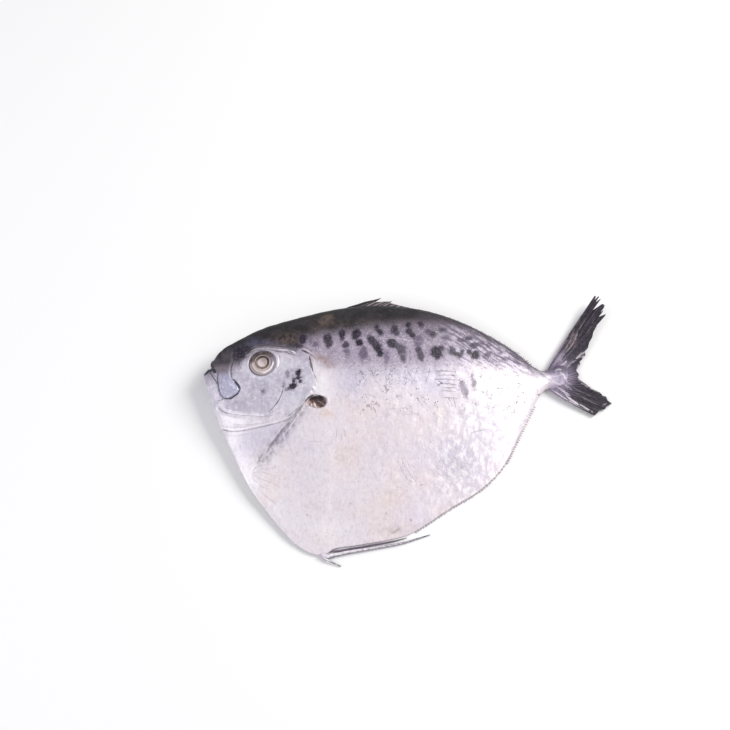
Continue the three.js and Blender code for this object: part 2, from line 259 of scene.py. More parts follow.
for ahead in (-1.6, 1.4, 4):
    relief -= 0.13 * ridge(shoulder_gap * shoulder_side - ahead, 0.7) * fade(shoulder_along, 1, 0.55)
    relief += 0.1 * ridge(shoulder_gap * shoulder_side - ahead - 1.3, 0.6) * fade(shoulder_along, 0.8, 0.4)
relief -= 0.3 * ridge(np.hypot((X + 80) / 9, (Y - 18) / 5), 1)
relief -= 3.2 * fade(eye_gap, 7.3, 5.8)
relief += 0.3 * ridge(eye_gap - 7.9, 0.5)
relief -= 0.2 * ridge(eye_gap - 9.1, 0.6) * fade(X, -78, -72)
relief -= 2.4 * fade(pit_centre, 1.05, 0.75) * fade(Y + 0.3 * (X + 47), 6.6, 10.4)
relief += 0.16 * ridge(pit_gap - 1, 0.9) * fade(Y, 9.5, 11.5)

# Low swellings and fine ripples of muscle, a groove along the flank's middle, and the belly's sharp keel.
SWELLINGS, RIPPLES = 46, 70
from_mid = Y - (27 + 0.11 * X)
draws = np.random.default_rng(7)
for _ in range(SWELLINGS):
    cx, cy = draws.uniform(-100, 70), draws.uniform(-55, 55)
    reach_x, reach_y, rise_mm = draws.uniform(4, 14), draws.uniform(3, 9), draws.uniform(-0.16, 0.16)
    relief += rise_mm * ridge(np.hypot((X - cx) / reach_x, (Y - cy) / reach_y), 1)
relief -= 0.1 * ridge(from_mid, 1.2) * fade(X, -44, -20)
for _ in range(RIPPLES):
    turn, length, shift = draws.uniform(0, np.pi), draws.uniform(2.2, 9), draws.uniform(0, 2 * np.pi)
    relief += 0.0011 * length * np.sin((X * np.cos(turn) + Y * np.sin(turn)) * 2 * np.pi / length + shift)
relief -= 0.2 * ridge(Y - belly_line(X) - 4, 2.5) * fade(abs(X + 20), 80, 50)
relief *= fade(X, 84, 74)

along_skin = np.gradient(skin, axis=0)
round_skin = (np.roll(skin, -1, 1) - np.roll(skin, 1, 1)) / 2
outward = np.cross(along_skin, round_skin)
outward /= np.maximum(np.linalg.norm(outward, axis=-1, keepdims=True), 1e-9)
skin = skin + outward * relief[..., None]
skin[..., 0] = np.maximum(JAW_X, skin[..., 0])
skin[..., 2] = np.maximum(SLAB_GAP, skin[..., 2])


def closed_over(rings):
    """Vertices and faces of the closed surface through rings of points, each end closed by a fan."""
    count, around = rings.shape[:2]
    index = np.arange(count * around).reshape(count, around)
    following = np.roll(index, -1, 1)
    quads = np.stack([index[:-1], index[1:], following[1:], following[:-1]], -1).reshape(-1, 4)
    ends = np.stack([rings[0].mean(0), rings[-1].mean(0)])
    first, last = count * around, count * around + 1
    caps = [(first, a, b) for a, b in zip(index[0], following[0])]
    caps += [(last, b, a) for a, b in zip(index[-1], following[-1])]
    return np.vstack([rings.reshape(-1, 3), ends]), quads.tolist() + caps


def make_piece(name, points, faces, values):
    """A smooth object from points in the fish's own millimetres; values holds one number per point."""
    mesh = bpy.data.meshes.new(name)
    mesh.from_pydata(((points + [0, ZERO_Y, 0]) * MM).tolist(), [], faces)
    mesh.shade_smooth()
    for key, numbers in values.items():
        flat = np.ravel(numbers)
        padded = np.concatenate([flat, np.full(len(points) - len(flat), flat[-1])])
        layer = mesh.attributes.new(key, "FLOAT", "POINT")
        layer.data.foreach_set("value", padded.astype(np.float32))
    piece = bpy.data.objects.new(name, mesh)
    bpy.context.scene.collection.objects.link(piece)
    return piece


# Markings. A sharp one is kept as a distance, so that its edge stays sharp between the mesh's points, and a
# soft one as its strength.
DARK_EDGE = line_through([
    (-107, 31.6), (-101, 31.4), (-96, 30.4), (-92.4, 29.8), (-91.6, 33.6), (-90.8, 35.9), (-89.4, 35.2),
    (-87.8, 34.4), (-86.3, 35.8), (-85.4, 38), (-82.3, 40.2), (-79, 41.8), (-73, 42.5), (-64, 41.6),
    (-60.3, 39.4), (-58, 39.6), (-56.6, 43), (-54.6, 46.4), (-50, 48.4), (-44, 49.6), (-38, 50.4),
    (-31, 51.6), (-22, 53.8), (-14, 55.4), (-4, 56.8), (6.4, 58.2), (14, 58.8), (22, 58.2), (30, 56),
    (38, 53), (50, 48), (58, 43), (66, 36.8), (85, 35.4),
])
GREY_EDGE = line_through([
    (-107, 30), (-92, 30), (-84, 39), (-72, 42), (-60, 39), (-57, 37.4), (-50.9, 35.4), (-40.6, 32.9),
    (-32.9, 31.4), (-25.2, 31.6), (-14.9, 32), (-2, 33.6), (16, 34.9), (35, 36.8), (45.4, 36.6),
    (53, 35.2), (64, 33.8), (85, 32),
])
SPOTS = [  # x, y, half across, half along, lean in degrees, darkness
    (-87.6, 39.6, 2.6, 4, 30, 0.85), (-84.8, 41.6, 3, 2.2, 20, 0.8), (-57.4, 41.6, 2.4, 1.3, -10, 0.8),
    (-54.8, 45.6, 1.9, 2.9, 12, 1), (-50.6, 44.4, 1.2, 1.8, 20, 0.4), (-48.4, 42.6, 1.2, 2, 0, 0.55),
    (-41.8, 44.8, 2.5, 4, 8, 0.85), (-34.6, 48.4, 1.5, 3.1, 0, 0.95), (-32.4, 42, 1.7, 2, 0, 0.9),
    (-31.9, 38.6, 1.3, 2.2, 0, 0.55), (-27.2, 48.4, 2.5, 3.2, 0, 0.95), (-25.7, 43.7, 1.9, 2.2, 0, 1),
    (-23.6, 37.6, 2.3, 3.8, 0, 0.6), (-19.2, 44.8, 2.2, 2.8, 24, 0.9), (-16.6, 42, 2.4, 3.2, 22, 0.95),
    (-14.8, 38.4, 1.8, 2.6, 18, 1), (-16.4, 52.6, 1.2, 2.2, 10, 0.95), (-14.6, 49.8, 1.4, 2.2, 24, 0.95),
    (-11.4, 35.4, 1.3, 2.8, 0, 0.4), (-6.9, 51.2, 2, 3, 0, 0.85), (-8.6, 43.8, 2.4, 3.2, 6, 0.9),
    (-5.4, 42.4, 2, 2.4, 30, 0.75), (-3.6, 40.4, 2, 3, 14, 0.75), (-2.9, 36.6, 1.5, 2.2, 0, 0.75),
    (-0.1, 55.3, 1.4, 2, 0, 0.95), (0.4, 51.6, 1.7, 2.2, 10, 0.9), (2.2, 49.4, 1.8, 1.6, 30, 0.95),
    (6.5, 56.2, 1.5, 1.8, 34, 0.9), (5, 45.6, 2.6, 4, 0, 0.55), (5.2, 41.4, 1.8, 2.2, 0, 0.8),
    (6.2, 37.4, 1.7, 2.6, 0, 0.8), (10.6, 51.6, 1.8, 1.8, 0, 0.65), (12.8, 50.4, 1.6, 2, 20, 0.8),
    (14.4, 40, 3.2, 3.5, 0, 0.95), (17.2, 42.8, 1.5, 2, 0, 0.9), (17.6, 53.8, 2.4, 1.2, 0, 0.75),
    (20.4, 49.4, 2.2, 1.5, 20, 0.5), (23, 41.5, 2, 2.2, 0, 0.8), (25.6, 40, 2.6, 1.6, 0, 0.85),
    (28, 42, 1.2, 1.6, 0, 0.9), (28.3, 48.4, 2.4, 1.6, 24, 0.7), (32, 50.1, 2, 1.2, 30, 0.8),
    (35, 46, 3, 1.7, 38, 0.8), (32.2, 41.8, 1.7, 1.8, 0, 0.9), (35, 40.8, 2.5, 2.2, 20, 0.95),
    (42, 41.6, 3, 1.4, 30, 0.65), (42.4, 46.8, 2, 1.2, 36, 0.5), (37.6, 47, 1.8, 1, 34, 0.5),
    (48.4, 43.4, 2.6, 0.9, 30, 0.45), (44, 37.6, 3, 0.8, 0, 0.4), (51, 39.6, 3.4, 0.9, 24, 0.4),
    (28.3, 21.2, 1.9, 4.4, 8, 0.34), (33.8, 25.3, 1.1, 3.2, 8, 0.4), (-59.4, 19.8, 1.6, 1.7, 0, 1.2),
    (-59.3, 22.2, 0.9, 1.5, 0, 1.15), (-56.7, 26.8, 0.8, 1.5, 0, 1.2), (-57, 23.6, 1.2, 1, 30, 1.1),
    (-55.9, 22, 0.7, 0.7, 0, 1), (-61.6, 18.6, 0.8, 0.8, 0, 0.8), (-62.9, 18, 1.1, 0.7, 0, 0.7),
    (-64.6, 19.6, 0.7, 1.1, 0, 0.4), (-62.3, 26.2, 0.8, 1.1, 0, 0.3), (-75.2, 17.6, 0.6, 0.7, 30, 0.45),
]
spot_in, spot_dark = np.full(X.shape, -3.0), np.zeros(X.shape)
for sx, sy, across, tall, lean, darkness in SPOTS:
    cos, sin = math.cos(math.radians(lean)), math.sin(math.radians(lean))
    u, v = (X - sx) * cos + (Y - sy) * sin, (Y - sy) * cos - (X - sx) * sin
    inner = (1 - np.hypot(u / across, v / tall)) * min(across, tall)
    spot_dark = np.where(inner > spot_in, darkness, spot_dark)
    spot_in = np.maximum(spot_in, inner)


def drawn(lines, x, y):
    """Fields for thin drawn lines, each given as a curve, its half width and its strength: the signed
    distance from the nearest line, the plain one, and that line's half width and strength."""
    signed, plain = np.full(x.shape, 9.0), np.full(x.shape, 9.0)
    half, strength = np.full(x.shape, 0.1), np.zeros(x.shape)
    for points, width, dark in lines:
        gap, along, side = away_from(points, x, y, 3)
        closer = gap < plain
        signed = np.where(closer, gap * side, signed)
        half = np.where(closer, width * np.sin(np.pi * along) ** 0.4, half)
        strength = np.where(closer, dark, strength)
        plain = np.minimum(plain, gap)
    return signed, plain, half, strength


# These dark lines are partly the dark skin at the bones' edges and round the lips, and partly painted shade
# in the grooves, under the gill cover's raised rim and under the rim of the hollow behind it.
INK_AND_SHADE = drawn([  # the dark edges between the head's bones and round the lips
    (UPPER_LIP[10:15], 0.72, 1), (UPPER_LIP[6:12], 0.42, 1), (UPPER_LIP[13:20], 0.26, 0.85),
    (UPPER_LIP[1:7], 0.28, 0.85), (LIP_FOLD, 0.26, 0.85), (LOWER_LIP, 1, 1),
    (CHEEK_PLATE[1:], 0.28, 0.75), (CHEEK_PLATE[2:7], 0.42, 0.85), (JAW_HINGE[:4], 0.24, 0.7),
    (JAW_HINGE[2:7], 0.16, 0.45), (GILL_COVER[1:4], 0.75, 0.8), (GILL_COVER[3:6], 0.45, 0.5),
    (GILL_COVER[4:8], 0.3, 0.25), (GILL_COVER[8:12], 0.3, 0.6), (GILL_COVER[11:15], 0.22, 0.5),
    (GILL_COVER[14:], 0.24, 0.5), ([(-86, 37.6), (-84, 38.6), (-82, 40.2), (-79.6, 41.6)], 0.4, 0.9),
    ([(-79, 42.6), (-74, 42.9), (-69, 41.9), (-64, 41.2), (-60.6, 40.4)], 0.4, 0.5),
    (LID_FOLD, 0.34, 0.6), (TAN_FOLD[:3], 0.55, 0.9), (TAN_FOLD[2:], 0.35, 0.45), (PIT[:4], 0.55, 0.95),
    (PIT[3:], 0.4, 0.9), ([(-53.9, 10.1), (-56.7, 8.2), (-59.2, 6.2), (-61.8, 3.9)], 0.34, 0.5),
    ([(-53.2, 11.2), (-55.7, 7.1), (-58.7, 2.6), (-61.7, -1.3)], 0.26, 0.4),
    ([(-61.4, 0.8), (-65.4, -3.8), (-68.4, -7.6), (-70.8, -11), (-72.6, -14)], 0.8, 0.42),
    ([(-74.6, -14.4), (-76.2, -17.1), (-77.5, -19.2)], 0.35, 0.5),
    ([(-77.6, -20.4), (-79.2, -22.4)], 0.3, 0.4),
    ([(-76.8, -15), (-75.8, -17.4), (-75, -17.8)], 0.24, 0.6),
    ([(-66.3, 28.3), (-67.5, 26.5)], 0.26, 0.5), ([(-98.2, 14.6), (-97, 14.2), (-95.4, 14.6)], 0.26, 0.7),
    ([(-95.6, 28), (-96.4, 22), (-95.4, 18)], 0.2, 0.25),
    ([(-57, 7.4), (-60.4, 2.6), (-64.6, -3.6), (-68.6, -9.6)], 0.22, 0.4),
    ([(-67.8, 39.4), (-66.6, 35), (-67.2, 30), (-69.6, 26)], 0.22, 0.3),
], X, Y)
RUNGS = [
    (14.1, 24, 30.1), (15.1, 24.6, 27.8), (13, 25.6, 25.6), (14, 25, 23.2), (18, 25, 21.4),
    (16.1, 24.4, 19.5), (16.5, 25.4, 16),
]
SCRAPES = drawn([  # old marks on the flank: rubbed lines, nicks and stray pigment
    *[([(x0, y - 0.2), ((x0 + x1) / 2, y + 0.25), (x1, y)], 0.34, 0.8) for x0, x1, y in RUNGS],
    ([(11.6, 33.4), (11, 31.3), (9.9, 26.9), (8.3, 22.6)], 0.32, 0.6),
    ([(22.7, 15.1), (23.7, 13.6), (24, 11.1)], 0.3, 0.6),
    ([(31.2, -1.4), (35.4, -0.1), (41.7, 1.3)], 0.3, 0.45), ([(42.8, 23.8), (44.9, 21.8)], 0.3, 0.55),
    ([(1.5, 11.3), (1.4, 8.4), (0.9, 5.7)], 0.28, 0.4),
    ([(-37.1, -2.3), (-37, -5.2), (-37.8, -7.6)], 0.3, 0.5), ([(-34.4, -4.6), (-34.9, -8.6)], 0.3, 0.4),
    ([(-33.3, -1.8), (-33, -4), (-32.2, -6.4)], 0.3, 0.5),
    ([(-50.9, -8.6), (-47.2, -9), (-43.9, -8.5)], 0.5, 0.22), ([(-23.6, 8.4), (-23, 7.2)], 0.4, 0.7),
    ([(-18.6, 8.8), (-17.6, 8.2), (-17, 6.4)], 0.4, 0.65),
    ([(-13.4, 21), (-12, 20.2), (-11.2, 18.8)], 0.4, 0.7),
    ([(-20.6, 15.8), (-18.4, 15), (-17.2, 13.8)], 0.35, 0.5),
    ([(-12, 26.4), (-11.6, 24.2), (-12, 22)], 0.3, 0.55),
    ([(-0.8, 29.6), (0.2, 27.6), (1.8, 25)], 0.3, 0.6),
    ([(-6.4, 26.6), (-2, 25.4), (1, 24), (3, 22.6)], 0.26, 0.5),
    ([(-21, 28.6), (-19, 28), (-18.4, 25.4)], 0.38, 0.75), ([(-25.6, 28.2), (-23.4, 27.2)], 0.4, 0.6),
    ([(-13, 32), (-8.6, 28.6), (-5, 26.4)], 0.26, 0.5), ([(-32, 33.4), (-34, 30.2)], 0.7, 0.3),
    ([(-27.4, 33), (-28.6, 31), (-31.6, 29)], 0.5, 0.35), ([(-23.6, 33.6), (-24.4, 30.4)], 0.6, 0.35),
    ([(4, 30.6), (5.4, 27.4)], 0.3, 0.5), ([(30.6, 31.6), (31, 28.8)], 0.5, 0.3),
    ([(46, 30.6), (49.8, 31.4)], 0.3, 0.35), ([(54, 31.4), (55, 29.4), (57, 31), (58, 29.6)], 0.4, 0.8),
    ([(-9.4, -53.4), (-7.6, -52.4), (-5.2, -51)], 0.9, 0.5), ([(0.2, -46), (0.8, -47)], 0.6, 0.7),
    ([(-51.3, -44.4), (-51, -45.8)], 0.7, 0.4), ([(-12.4, -42.8), (-11.8, -43.8)], 0.6, 0.45),
    ([(-30.4, -38.6), (-29.6, -39.2)], 0.6, 0.4), ([(-23, -38.4), (-22.2, -39)], 0.5, 0.4),
    ([(-65.8, -14.8), (-65.2, -15.6)], 0.7, 0.4), ([(0.8, -26.6), (1.4, -27.6)], 0.4, 0.4),
    ([(4.8, -29), (8, -28.4)], 0.4, 0.45), ([(17, 6.6), (18.6, 5.4)], 0.8, 0.3),
    ([(-11.6, -8), (-11.2, -9.2)], 0.5, 0.45), ([(-5.6, -25.6), (-6.2, -27)], 0.4, 0.5),
    ([(-42.4, -55), (-41.4, -55.8)], 0.8, 0.25),
], X, Y)
CREASES = drawn([  # wrinkles pressed into the skin, where the belly has been folded or handled
    ([(-4.3, -15.6), (-2.8, -19.6), (-0.8, -22.5), (1.7, -25.9), (3.2, -28.4)], 0.25, 0.8),
    ([(-6.4, -16.6), (-3.9, -22.2), (-1.9, -25.1), (0.4, -28.4)], 0.22, 0.6),
    ([(-2, -15.6), (-0.4, -19.6), (1.6, -22.5), (4.1, -25.8)], 0.22, 0.6),
    ([(-79.7, -22.4), (-76.2, -20.1), (-70.6, -19.3)], 0.25, 0.4),
    ([(-79.7, -23.3), (-74.6, -23.1), (-67.5, -25.4)], 0.25, 0.45),
    ([(-79.7, -23.8), (-74.6, -26.6), (-69.4, -28.8), (-64.8, -31.4)], 0.28, 0.5),
    ([(-79.7, -25.3), (-75.5, -29.5), (-70.4, -32.2)], 0.25, 0.5),
    ([(-79.7, -26.3), (-76, -31.9), (-71.3, -36), (-67.2, -39.2)], 0.28, 0.45),
    ([(-78, -22), (-72, -21.6), (-66, -21)], 0.25, 0.3),
    ([(-77, -28), (-74, -33), (-71, -38)], 0.22, 0.35),
    *[([(14.6 + 1.2 * k, -15.8 + 1.5 * k), (18 + 1.2 * k, -19.6 + 1.3 * k),
        (22.2 + 1.3 * k, -22.2 + 1.3 * k), (27.7 + 1.2 * k, -23.3 + 1.4 * k)], 0.2, 0.5)
      for k in (-2.6, -1.5, -0.2, 0.8, 2.1, 3, 4.2)],
    ([(-96, 11), (-92, 9.4), (-87, 8.4)], 0.25, 0.5), ([(-90, 1.6), (-82, 0.6), (-74, 1.4)], 0.3, 0.4),
], X, Y)
# Painted highlights along thin rims and on the stalk's end; the first line is the fish's own faint pale
# lateral line.
GLINTS = drawn([  # thin pale rims that catch the light
    ([(-15, 46.4), (-8, 46.6), (0, 46.2), (8, 45.4)], 0.3, 0.22),
    ([(-97, 1.9), (-94.8, 0.5), (-90.5, -0.8), (-85.3, -1.1), (-80.1, -0.5), (-75, 0.3), (-69.9, 1.3),
      (-64.8, 2.5), (-60.6, 4.2)], 0.24, 0.85),
    ([(-82.3, 39.6), (-79.7, 40.7), (-76, 41), (-71.8, 40.6), (-67.6, 40)], 0.26, 0.35),
    ([(-68, 39.9), (-64.5, 39.4), (-61.4, 38.9)], 0.36, 0.6),
    ([(-60.9, 38.5), (-59.4, 37.9), (-58.1, 37)], 0.34, 0.95),
    ([(-55, 40), (-53.1, 39.2), (-51, 38), (-49.8, 37)], 0.3, 0.45),
    ([(-53.4, 12), (-51.8, 14), (-50.6, 15)], 0.26, 0.8),
    ([(-86.6, 24.2), (-87.8, 22.9), (-86.2, 21.4)], 0.3, 0.5),
    ([(-56.4, 5.4), (-60.6, -0.6), (-65.6, -7.4)], 0.24, 0.6),
    ([(-61, 3.4), (-65.4, -2), (-70, -8)], 0.22, 0.5),
    ([(-49.4, 34.6), (-48, 30.6), (-46.8, 27)], 0.3, 0.4),
    ([(-74, 24.8), (-71, 27), (-69.4, 29.4)], 0.22, 0.6),
    ([(-70.6, 27.8), (-71.6, 26.6), (-73, 25.4)], 0.4, 0.3),
    ([(-54, 10.8), (-57.6, 7.9), (-61, 5)], 0.35, 0.4),
    ([(-55, 7), (-59, 1), (-63, -4), (-66, -8)], 0.4, 0.5), ([(-57.5, 8.4), (-59.6, 3)], 0.3, 0.3),
    ([(77.6, 35.4), (79.6, 36.6), (81.4, 36.6)], 0.4, 0.6),
    ([(80.4, 34.6), (82.4, 33.2), (83.4, 31)], 0.5, 0.6), ([(76, 29), (79, 28.2), (82, 28.4)], 0.35, 0.4),
    ([(75.6, 32), (78.6, 32.4), (81, 33.4)], 0.3, 0.35),
], X, Y)


def patches(spread):
    """A field of soft patches, each given as x, y, half across, half along and its strength there."""
    total = np.zeros(X.shape)
    for cx, cy, across, tall, strength in spread:
        total += strength * ridge(np.hypot((X - cx) / across, (Y - cy) / tall), 1)
    return np.minimum(total, 1)


warm = patches([
    (-42.6, 5.8, 3.6, 2.8, 1), (-30, -16.6, 8, 6, 0.3), (7.8, -26.2, 7, 5, 0.3), (-7.5, -36, 8, 5, 0.35),
    (-63, -17, 4, 5, 0.3), (-33, -42, 7, 5, 0.2), (5, 2, 14, 12, 0.15), (-96, 12.5, 3, 3, 0.4),
    (-3, -51, 9, 3, 0.35), (-60.5, 24, 3, 5, 0.25), (-101, 14, 3, 8, 0.3), (-46.6, 34.6, 4.6, 1.5, 0.8),
    (-41.8, 31.6, 3.2, 2.2, 0.9),
])
cool = patches([
    (-29, 21, 8, 9, 0.85), (22, -17, 8, 7, 0.6), (-6, 27, 28, 7, 0.75), (16, 20, 12, 10, 0.5),
    (-83, -9, 9, 7, 0.9), (-72, -5, 8, 5, 0.6), (-52, -25, 9, 12, 0.2), (-13, 2, 5, 14, 0.15),
    (-60, -5, 6, 5, 0.3), (-88, 20, 5, 7, 0.4), (12, -34, 10, 4, 0.2), (66, 31, 7, 3, 0.4),
])
pale = patches([
    (-45, 20, 4, 8, 0.9), (-40, -53, 12, 6, 0.6), (44, 14, 18, 16, 0.6), (56, 26, 14, 10, 0.9),
    (-92, -16, 3, 10, 0.3), (-44, 9, 2, 6, 0.3), (-56, -3, 4, 5, 0.3), (-30, -30, 20, 12, 0.15),
    (-2, 20, 20, 10, 0.2), (-84, 8, 9, 2, 0.25), (-84, 31, 3, 5, 0.25), (-100, 4, 5, 12, 0.5),
    (-91, -8, 6, 10, 0.5), (-80, -26, 6, 10, 0.4), (-60, 36.4, 5, 2, 0.5), (-52, 22, 2, 6, 0.3),
    (-70, -16, 3, 7, 0.3), (-58, 9, 4, 4, 0.9), (-65, 33, 5, 5, 0.8), (-97, 8, 4, 5, 0.5),
    (-86, 2.4, 11, 2.4, 0.9),
])
# Darker mauve patches: painted shade along the shoulder and round the head's plates, with some of the skin's
# own darker tone.
dusk = patches([
    (-41.4, 31.4, 4, 2.8, 0.75), (-45, 34.4, 4, 1.8, 0.5), (-52.4, 38, 3.4, 1, 0.8),
    (-50.6, 32.6, 0.9, 3, 0.6), (-61, 0.6, 4.4, 4, 0.5), (-66, -5.6, 4.4, 4, 0.5),
    (-70.6, -11, 4, 4, 0.6), (-75, -17, 3, 4, 0.45), (-90, 11.6, 5, 2.6, 0.35), (-84, 9, 6, 2.2, 0.3),
    (-55, 6, 3, 3, 0.4), (-62, 26, 3, 3, 0.35), (-80, 15, 9, 3, 0.4), (-75, 20, 6, 3, 0.3),
    (-87.4, 30, 1.6, 5, 0.35), (-64, 21, 2, 3, 0.4), (-72, 6.6, 4, 2, 0.3), (-7, -51.8, 5, 1.4, 0.5),
])
shoulder_shade = ridge(shoulder_gap * shoulder_side - 0.6, 2.4) * fade(shoulder_along, 1, 0.8)
dusk = np.minimum(1, dusk + 0.75 * shoulder_shade)
navy = patches([
    (-80, 44.6, 6, 2, 1), (-74, 44.4, 5, 1.4, 0.9), (-94, 42.6, 2.6, 3.6, 0.7), (-82, 47.6, 3, 2, 0.7),
])
umber = patches([
    (-67, 45, 6, 2.6, 0.7), (-60, 45.6, 3.6, 3, 0.8), (-64, 49, 6, 2.5, 0.4), (-44, 56, 5, 3.6, 0.9),
    (-48, 51, 3, 2.6, 0.6), (-42, 60.2, 2.6, 1.8, 1), (-20, 56, 6, 3, 0.4), (-34, 54, 4, 3, 0.4),
    (-2, 56, 6, 3, 0.3),
])

points, faces = closed_over(skin)
marks = {
    "above_dark": Y - DARK_EDGE(X), "above_grey": Y - GREY_EDGE(X), "to_tail": X, "to_back": Y,
    "spot_in": spot_in, "spot_dark": spot_dark, "in_head": np.clip(inside_gill, -9, 9),
    "in_pit": (1.15 - pit_centre) * 3.5, "in_lip": in_lip, "from_back": back_line(X) - Y,
    "from_keel": Y - belly_line(X), "warm": warm, "cool": cool, "pale": pale, "dusk": dusk, "navy": navy,
    "umber": umber,
}


def named(name, fields):
    """The four fields of a set of drawn lines, as make_piece takes them and Wire.line reads them."""
    return {f"{name}_{part}": field for part, field in zip(("signed", "plain", "half", "strength"), fields)}


for name, fields in (("ink_and_shade", INK_AND_SHADE), ("scrape", SCRAPES), ("crease", CREASES), ("glint", GLINTS)):
    marks.update(named(name, fields))
body = make_piece("moonfish_body", points, faces, marks)


def colour(code):
    """A linear colour from the sRGB code that a paint chart would give, such as "C8C0CC"."""
    parts = [int(code[i : i + 2], 16) / 255 for i in (0, 2, 4)]
    return (*[p / 12.92 if p < 0.04045 else ((p + 0.055) / 1.055) ** 2.4 for p in parts], 1)


class Wire:
    """A link out of a node in one material. Arithmetic on wires adds Math nodes; node() adds any other."""

    FURTHEST_PUSH = 0.45  # how far, in millimetres, a waver can push a drawn line aside

    def __init__(self, tree, socket=None):
        self.tree, self.socket = tree, socket

    def node(self, kind, settings, sockets, output=0):
        made = self.tree.nodes.new(kind)
        for name, value in settings.items():
            setattr(made, name, value)
        for name, value in sockets.items():
            if isinstance(value, Wire):
                self.tree.links.new(value.socket, made.inputs[name])
            else:
                made.inputs[name].default_value = value
        return Wire(self.tree, made.outputs[output] if made.outputs else None)

    def math(self, operation, first, second):
        return self.node("ShaderNodeMath", {"operation": operation}, {0: first, 1: second})

    def __add__(self, other):
        return self.math("ADD", self, other)

    __radd__ = __add__

    def __sub__(self, other):
        return self.math("SUBTRACT", self, other)

    def __rsub__(self, other):
        return self.math("SUBTRACT", other, self)

    def __mul__(self, other):
        return self.math("MULTIPLY", self, other)

    __rmul__ = __mul__

    def value(self, name):
        """The number that make_piece stored under that name."""
        return self.node("ShaderNodeAttribute", {"attribute_name": name}, {}, "Fac")

    def place(self, stretch=(1, 1, 1)):
        """Where a point is on the piece, in metres, scaled along each axis."""
        place = self.node("ShaderNodeTexCoord", {}, {}, "Object")
        return self.node("ShaderNodeMapping", {}, {"Vector": place, "Scale": stretch})

    def size(self):
        """This number without its sign."""
        return self.node("ShaderNodeMath", {"operation": "ABSOLUTE"}, {0: self})

    def line(self, name, waver, soft, fullness=1):
        """How strongly a set of drawn lines shows: pushed about by waver, thickened by fullness."""
        reach = (self.value(name + "_signed") + waver).size()
        reach = self.math("MAXIMUM", reach, self.value(name + "_plain") - self.FURTHEST_PUSH)
        shown = (self.value(name + "_half") * fullness - reach).between(-soft, soft)
        return shown * self.value(name + "_strength")

    def noise(self, size_mm, detail, stretch=(1, 1, 1)):
        """Cloudy noise from 0 to 1 whose patches are about size_mm across."""
        sockets = {"Vector": self.place(stretch), "Scale": 1 / (size_mm * MM), "Detail": detail}
        return self.node("ShaderNodeTexNoise", {}, sockets)

    def between(self, low, high):
        """0 where this is below low, 1 above high, smooth between."""
        sockets = {"Value": self, "From Min": low, "From Max": high}
        return self.node("ShaderNodeMapRange", {"interpolation_type": "SMOOTHSTEP"}, sockets)

    def mixed(self, without, with_it):
        """The first colour where this is 0, the second where it is 1. Each is a wire or a code."""
        first, second = (colour(c) if isinstance(c, str) else c for c in (without, with_it))
        return self.node("ShaderNodeMix", {"data_type": "RGBA"}, {0: self, 6: first, 7: second}, 2)

    def bump(self, distance_mm, strength):
        """The surface's normal, roughened by this height."""
        sockets = {"Height": self, "Distance": distance_mm * MM, "Strength": strength}
        return self.node("ShaderNodeBump", {}, sockets, "Normal")


def new_material(name):
    """The wire that starts a new material's nodes, and a function that finishes it with its shader."""
    material = bpy.data.materials.new(name)
    material.use_nodes = True
    tree = material.node_tree
    tree.nodes.clear()

    def finish(sockets):
        shader = Wire(tree).node("ShaderNodeBsdfPrincipled", {}, sockets)
        Wire(tree).node("ShaderNodeOutputMaterial", {}, {"Surface": shader})
        return material

    return Wire(tree), finish


def painted(base, *coats):
    """A colour with others laid over it in turn, each as strongly as the wire before it says."""
    for strength, coat in coats:
        base = strength.mixed(base, coat)
    return base


# The skin is bare of scales: a silver layer under a clear wet one, with dark pigment along the back.
WET_IOR = 1.36
at, finish = new_material("moonfish_skin")
cloud, speck, grain, wander = at.noise(9, 4), at.noise(1.1, 3), at.noise(0.45, 2), at.noise(3.2, 3)
waver, vary = (wander - 0.5) * 1.1 + (grain - 0.5) * 0.25, wander * 1.5 + 0.1
to_tail, to_back, from_back = at.value("to_tail"), at.value("to_back"), at.value("from_back")
tan, broad = at.value("warm"), at.noise(26, 4)
silver = painted(
    to_tail.between(-90, -10).mixed("F2EBF2", "E9DFE7"),
    (cloud.between(0.3, 0.7) * 0.5, "EBDFE5"),
    (broad.between(0.48, 0.66) * 0.55, "DCD4E4"),
    (broad.between(0.48, 0.34) * 0.45, "EFDFDA"),
    (at.value("cool") * 0.9, "D0CADC"),
    (tan * 0.8, "E2CABD"),
)
head = painted(
    (tan * 0.5 + cloud * 0.5).between(0.1, 0.6).mixed("D3CFDF", "E0D8E4"),
    ((to_back + cloud * 6).between(15, 7), "EBE4EE"),
    (at.noise(10, 4).between(0.46, 0.62) * 0.4, "A9A2B9"),
    (wander.between(0.4, 0.75) * 0.5, "AEA6BC"),
    (at.noise(2, 5).between(0.5, 0.68) * 0.4, "F5F0F6"),
    (speck.between(0.55, 0.75) * 0.35, "9C91A4"),
)
lip = (wander * 0.6 + speck * 0.5).between(0.35, 0.75).mixed("A6A5C2", "C9C6DA")
lip = to_back.between(26, 31).mixed(lip, "7F767F")
in_head = (at.value("in_head") + (speck - 0.5) * 1.2).between(-0.6, 1.4)
fibre, shimmer = at.noise(1.5, 3, (1.4, 0.35, 1)), at.noise(1.8, 5, (1.2, 0.8, 1))
scuff = at.noise(1.2, 2, (1.6, 0.7, 1)).between(0.6, 0.66) * cloud.between(0.45, 0.6)
shaded = at.value("dusk") * at.noise(2.6, 4, (1.3, 0.8, 1)).between(0.2, 0.75)
sheen_noise, sheen_area = at.noise(2.4, 6, (1.3, 0.8, 1)), to_tail.between(2, 26) * to_back.between(22, 2)
